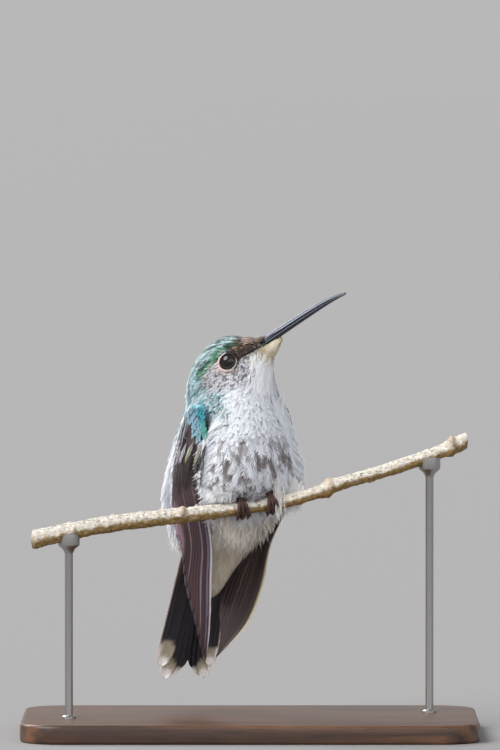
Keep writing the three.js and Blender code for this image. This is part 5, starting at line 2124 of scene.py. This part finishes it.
@dataclass
class Bill:
    """A thin bill, curved down a little towards its tip: two mandibles that meet in a fine line.

    line holds forward, height, half depth and half width.
    """

    line: Line = field(
        default_factory=lambda: Line(
            [
                [6.4, 0.3, 0.85, 1.15], [12.8, 0.5, 0.98, 1.05], [20.8, 0.52, 0.86, 0.85],
                [25.3, 0.38, 0.68, 0.62], [28.4, 0.02, 0.42, 0.4], [30.2, -0.36, 0.22, 0.22]
            ]
        )
    )
    below: float = 0.22  # the parting lies this share of the depth under the middle
    gap: float = 0.04

    def build(self, horn: Finish) -> list[Piece]:
        """Models both mandibles.

        Args:
            horn: their finish.

        Returns:
            The pieces.
        """
        rows = self.line.at(np.linspace(0, 1, 44))
        tail = rows[-1] + [0.1, -0.03, 0, 0], rows[-1] + [0.16, -0.05, 0, 0]
        rows = np.vstack([rows, tail])
        rows[-2, 2:] *= 0.7
        rows[-1, 2:] *= 0.3
        upper, lower = [], []
        for forward, height, deep, half in rows:
            upper.append(Ring((forward, 0, height), half, deep))
            low = height - self.below * deep - self.gap
            lower.append(Ring((forward - 0.15, 0, low), half * 0.95, deep * (1 - self.below)))
        top = drawn_bar("bill_upper_horn", 28, upper, flat=self.below)
        self._groove(top)
        base = drawn_bar("bill_lower_horn", 28, lower, flat=-0.06)
        place = BIRD @ HEAD @ Matrix.Rotation(-math.pi / 2, 4, "Z")  # +X becomes the front
        pieces = []
        for piece, node in ((top, "bill_upper"), (base, "bill_lower")):
            set_down(piece, place)
            pieces.append(keep(piece, horn, "bill", node))
        return pieces

    @staticmethod
    def _groove(piece: Piece) -> None:
        """Presses the nostril's long groove into each side, near the feathers."""
        points = points_of(piece)
        forward, side, up = points.T
        where = ease(8.2, 9.8, forward) * ease(14.5, 12.2, forward)
        press = where * np.exp(-(((up - 0.62) / 0.2) ** 2)) * ease(0.2, 0.6, np.abs(side))
        points[:, 1] -= np.sign(side) * 0.16 * press
        set_points(piece, points)


@dataclass
class Foot:
    """A perching foot: three toes over the front of the twig, one behind, each with a claw."""

    name: str
    along: float  # where it grips, along X
    rest: float = 0.3
    toe: float = 0.42
    claw: float = 0.26
    hook: float = 0.35
    spread: float = 1.15
    palm: float = 0.75
    squash: tuple[float, float, float] = (1.25, 1.0, 0.9)  # of the palm
    front: tuple[float, float] = (142, 62)  # degrees round the twig: a front toe, then its claw
    hind: tuple[float, float] = (120, 58)

    def build(self, skin: Finish) -> Piece:
        """Models the foot as one piece.

        Args:
            skin: its finish.

        Returns:
            The piece.
        """
        middle, radius = twig_at(self.along)
        ahead, _ = twig_at(self.along + 0.5)
        along = Vector(ahead - middle).normalized()
        back = Vector((0, 0, 1)).cross(along).normalized()
        up = along.cross(back)
        place = Matrix.Translation(middle) @ Matrix((along, back, up)).transposed().to_4x4()
        toes = [self._toe(float(radius), -1, *self.front, rank * self.spread) for rank in (-1, 0, 1)]
        toes.append(self._toe(float(radius), 1, *self.hind, 0.0))
        toes.append(self._palm(float(radius)))
        take(*toes)
        bpy.ops.object.join()
        piece = toes[0]
        piece.name = piece.data.name = self.name + "_toes"
        set_down(piece, place)
        return keep(piece, skin, "foot", self.name)

    def _toe(self, radius: float, side: int, reach: float, claw_reach: float, shift: float) -> Piece:
        """One toe with its claw: a bar drawn straight, then wound round the twig.

        Args:
            radius: the twig's radius.
            side: -1 over the front, 1 over the back.
            reach: degrees round the twig that the toe covers.
            claw_reach: degrees more that its claw covers.
            shift: how far along the twig it stands from the middle toe.

        Returns:
            The toe.
        """
        grip = radius + self.rest + self.toe
        sweep = reach + claw_reach
        share = np.linspace(0, 1, 46)
        claw = np.clip((share * sweep - reach) / claw_reach, 0, 1)
        joint = 1 + 0.13 * np.cos(share * 6 * math.pi) * (1 - claw)
        scute = 1 + 0.05 * np.cos(share * 30 * math.pi) * (claw < 0.02)
        thick = mix(self.toe * joint * scute, self.claw * mix(1.0, 0.12, claw**1.6), ease(0, 0.12, claw))
        run = share * math.radians(sweep) * grip
        rings = [Ring((float(x), 0, 0), float(t), float(t)) for x, t in zip(run, thick)]
        toe = drawn_bar("toe", 14, rings)
        points = points_of(toe)
        angle = points[:, 0] / grip
        at = angle / math.radians(sweep)
        hooked = ease(reach / sweep, 1.0, at)
        out = grip + self.hook * hooked + points[:, 2]
        x = points[:, 1] + shift * np.minimum(1, at * 1.6)
        set_points(toe, np.stack([x, side * out * np.sin(angle), out * np.cos(angle)], 1))
        return toe

    def _palm(self, radius: float) -> Piece:
        """The ball of the foot, pressed down a little on the twig."""
        clear_bench()
        height = radius + self.rest + self.palm
        bpy.ops.mesh.primitive_uv_sphere_add(
            segments=20, ring_count=14, radius=self.palm * MM, location=(0, 0, height * MM)
        )
        ball = bpy.context.object
        with editing():
            bpy.ops.transform.resize(value=self.squash, center_override=(0, 0, height * MM))
        bpy.ops.object.transform_apply(location=True)
        return ball


# ---------------------------------------------------------------- twig and stand


@dataclass
class Twig:
    """A cut length of twig with leaf scars and buds, sawn off at both ends."""

    ends: tuple[float, float] = (-46.5, 46.8)
    scars: tuple[tuple[float, float, float], ...] = (
        (-14.6, 0.42, 2.6), (17.0, 0.3, 0.6), (43.6, 0.3, 2.2)
    )  # along, how far it swells, where its bud points round the twig
    knots: int = 70
    small: int = 56  # how many of the knots are small
    seed: int = 51

    def build(self, bark: Finish) -> Piece:
        """Models the twig.

        Args:
            bark: its finish.

        Returns:
            The piece.
        """
        along = np.linspace(*self.ends, 330)
        rows = np.stack([np.interp(along, TWIG_STEPS[:, 0], TWIG_STEPS[:, k]) for k in (1, 2)], 1)
        rings = [Ring((a, 0, z), r, r) for a, (z, r) in zip(along.tolist(), rows.tolist())]
        piece = drawn_bar("twig", 40, rings)
        points = points_of(piece)
        middle = np.interp(points[:, 0], along, rows[:, 0])
        radius = np.interp(points[:, 0], along, rows[:, 1])
        turn = np.arctan2(points[:, 2] - middle, points[:, 1])
        size = np.hypot(points[:, 1], points[:, 2] - middle)
        strands = np.stack([points[:, 0] * 0.16, 2.2 * np.cos(turn), 2.2 * np.sin(turn)], 1)
        size *= 1 + 0.09 * cloud(strands, 0.5) + 0.1 * cloud(points, 0.8, 3.0)
        rng = np.random.default_rng(self.seed)
        for n in range(self.knots):
            away = np.hypot(
                points[:, 0] - rng.uniform(-46, 46),
                radius * np.angle(np.exp(1j * (turn - rng.uniform(-math.pi, math.pi))))
            )
            tall = rng.uniform(0.08, 0.26) if n < self.small else rng.uniform(0.3, 0.55)
            size += tall * np.exp(-((away / rng.uniform(0.25, 0.5)) ** 2))
        scar_tint = np.zeros(len(points))
        for where, swell, bud in self.scars:
            near = points[:, 0] - where
            collar = np.exp(-((near / 0.55) ** 2))
            beside = np.angle(np.exp(1j * (turn - bud)))
            lump = np.exp(-(((near + 0.5) / 0.7) ** 2) - (beside / 0.5) ** 2)
            size += swell * (0.8 * collar - 0.4 * np.exp(-(((near - 1.1) / 0.3) ** 2))) + 1.0 * lump
            scar_tint = np.maximum(scar_tint, np.maximum(collar, lump))
        points[:, 1] = size * np.cos(turn)
        points[:, 2] = middle + size * np.sin(turn)
        set_points(piece, points)
        # Painted light: a share that is 0 on the top, painted pale as lit, and 1 underneath.
        under = ease(0.3, -0.35, np.sin(turn) + 0.25 * cloud(points, 1.6, 9.0))
        pink = mix(np.ones(3), linear("#d3ad8f"), scar_tint[:, None] * 0.6)
        set_attributes(piece.data, {"tint": pink}, {"underside": under})
        set_down(piece, Matrix.Rotation(TWIG_TURN, 4, "Z"))
        return keep(piece, bark, "bark", "perch")


@dataclass
class Stand:
    """A flat wooden base and two turned rods with cups that the twig rests in."""

    size: tuple[float, float, float] = (96.0, 58.0, 4.0)
    corner: float = 9.0
    edge: float = 0.7
    rods: tuple[float, float] = (-38.0, 38.0)
    radius: float = 0.85
    cup: float = 2.3
    cup_height: float = 4.0

    def build(self, wood: Finish, steel: Finish) -> list[Piece]:
        """Models base and rods.

        Args:
            wood: the base's finish.
            steel: the rods' finish.

        Returns:
            The pieces.
        """
        names = ("stand_rod_right", "stand_rod_left")
        pieces = [keep(self._base(), wood, "base_wood", "stand_base")]
        for x, name in zip(self.rods, names):
            pieces.append(keep(self._rod(x, name), steel, "rod_metal", name))
        return pieces

    def _base(self) -> Piece:
        """The base: a board with rounded corners and softly broken edges."""
        clear_bench()
        wide, deep, high = self.size
        bpy.ops.mesh.primitive_plane_add(size=1, location=(0, 0, 0))
        base = fresh("stand_base_board")
        with editing():
            bpy.ops.transform.resize(value=(wide * MM, deep * MM, 1), center_override=(0, 0, 0))
            bpy.ops.mesh.bevel(offset=self.corner * MM, segments=12, affect="VERTICES")
            bpy.ops.mesh.select_all(action="SELECT")
            bpy.ops.mesh.extrude_region_move(TRANSFORM_OT_translate={"value": (0, 0, high * MM)})
            face_outwards()
        soft = base.modifiers.new("soft", "BEVEL")
        soft.width, soft.segments, soft.angle_limit = self.edge * MM, 4, math.radians(40)
        apply_modifiers(base)
        take(base)
        bpy.ops.object.shade_smooth_by_angle(angle=math.radians(30))
        return base

    def _rod(self, x: float, name: str) -> Piece:
        """One rod, drawn upwards from the base to its cup."""
        middle, _ = twig_at(x)
        top = float(middle[2]) - 0.3
        neck = top - self.cup_height
        profile = [
            (self.size[2] - 0.1, 1.5), (self.size[2] + 0.35, 1.5), (self.size[2] + 0.6, 1.25),
            (self.size[2] + 0.7, self.radius), (neck - 0.4, self.radius), (neck, 0.95),
            (neck + 0.7, 1.35), (neck + 1.4, self.cup * 0.96), (neck + 1.7, self.cup),
            (top - 0.15, self.cup), (top, self.cup - 0.15)
        ]  # height, radius
        rings = [Ring((height, 0, 0), size, size) for height, size in profile]
        rod = drawn_bar(name.replace("rod", "turned_rod"), 40, rings)
        upright = Matrix.Translation((middle[0], middle[1], 0)) @ Matrix.Rotation(-math.pi / 2, 4, "Y")
        set_down(rod, upright)
        take(rod)
        bpy.ops.object.shade_smooth_by_angle(angle=math.radians(35))
        return rod


# ---------------------------------------------------------------- studio


@dataclass
class Studio:
    """Camera, floor and soft lights."""

    lens: float = 400.0
    distance: float = 1755.0
    height: float = 75.8  # of the point it looks at
    elevation: float = 2.0
    air: str = "#b9b8b8"  # the floor's lit tone is the same, so that no edge shows far off

    def camera(self) -> Piece:
        """Sets up the camera, level with the bird and looking along +Y."""
        data = bpy.data.cameras.new("camera")
        data.lens, data.sensor_width, data.sensor_fit = self.lens, 36.0, "AUTO"
        data.clip_start, data.clip_end = 0.05, 200.0
        camera = bpy.data.objects.new("camera", data)
        bpy.context.scene.collection.objects.link(camera)
        rise = math.radians(self.elevation)
        back = Vector((0, -math.cos(rise), math.sin(rise)))
        camera.location = Vector((0, 0, self.height * MM)) + back * self.distance * MM
        camera.rotation_mode = "QUATERNION"
        camera.rotation_quaternion = (-back).to_track_quat("-Z", "Y")
        bpy.context.scene.camera = camera
        return camera

    def floor(self, card: Finish) -> Piece:
        """A wide round floor of pale card."""
        clear_bench()
        bpy.ops.mesh.primitive_circle_add(vertices=96, radius=90.0, fill_type="NGON")
        floor = bpy.context.object
        floor.name = "floor"
        floor.data.materials.append(card)
        return floor

    def lights(self) -> None:
        """Soft daylight: a key from the upper left, a weak fill and a light from behind."""
        self._sun("key", (-0.62, -0.5, 0.62), 3.15, 46, "#fffcf8")
        self._sun("fill", (0.4, -0.92, -0.1), 1.5, 80, "#f2f3fb")
        self._sun("rim", (-0.6, 0.7, 0.75), 1.6, 30, "#f4f8ff")
        world = bpy.data.worlds.new("studio_air")
        world.use_nodes = True
        world.node_tree.nodes.clear()
        air = add_node(world.node_tree, "Background", {"Color": rgba(self.air), "Strength": 1.0})
        add_node(world.node_tree, "OutputWorld", {"Surface": air.outputs["Background"]})
        bpy.context.scene.world = world
        bpy.context.scene.view_settings.view_transform = "Standard"

    @staticmethod
    def _sun(
        name: str, place: tuple[float, float, float], power: float, width: float, colour: str
    ) -> None:
        """One soft far light.

        Args:
            name: its name.
            place: the direction it comes from.
            power: watts on a square metre.
            width: how wide it looks, in degrees.
            colour: hex colour.
        """
        data = bpy.data.lights.new(name, "SUN")
        data.energy, data.angle = power, math.radians(width)
        data.color = linear(colour)
        light = bpy.data.objects.new(name, data)
        bpy.context.scene.collection.objects.link(light)
        light.rotation_mode = "QUATERNION"
        light.rotation_quaternion = (-Vector(place)).to_track_quat("-Z", "Y")


def main() -> None:
    """Builds camera, stand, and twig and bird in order."""
    logging.basicConfig(level=logging.INFO, format="%(name)s: %(message)s")
    clear_bench()
    studio = Studio()
    studio.camera()
    parts = frame["nodes"]
    plumage = Plumage().material()
    vane = FlightVane().material()
    horn = BillHorn().material()
    toes = ScaledSkin("toe_scales", "#4a302b", "#1e1413").material()
    lids = ScaledSkin("lid_skin", "#2a2021", "#100c0d", 0.16).material()
    Stand().build(OiledWalnut().material(), BrushedSteel().material())
    Twig().build(TwigBark().material())
    for name, along in (("foot_right", -1.9), ("foot_left", 4.4)):
        Foot(name, along).build(toes)
    skin = Skin()
    body = Body(skin.build(parts), parts)
    skin.dress(plumage)
    Coat().build(body, plumage)
    rng = np.random.default_rng(LOCK_SEED)
    for lock in LOCKS:
        lock.build(body, plumage, rng)
    for wing in (RIGHT_WING, LEFT_WING):
        Wing(**wing).build(vane, plumage)
    Tail().build(vane, plumage)
    glass = GlassEye().material()
    for side in (-1, 1):
        Eye(side).build(glass, lids)
    Bill().build(horn)
    studio.floor(StudioPaper().material())
    studio.lights()


if __name__ == "__main__":
    main()
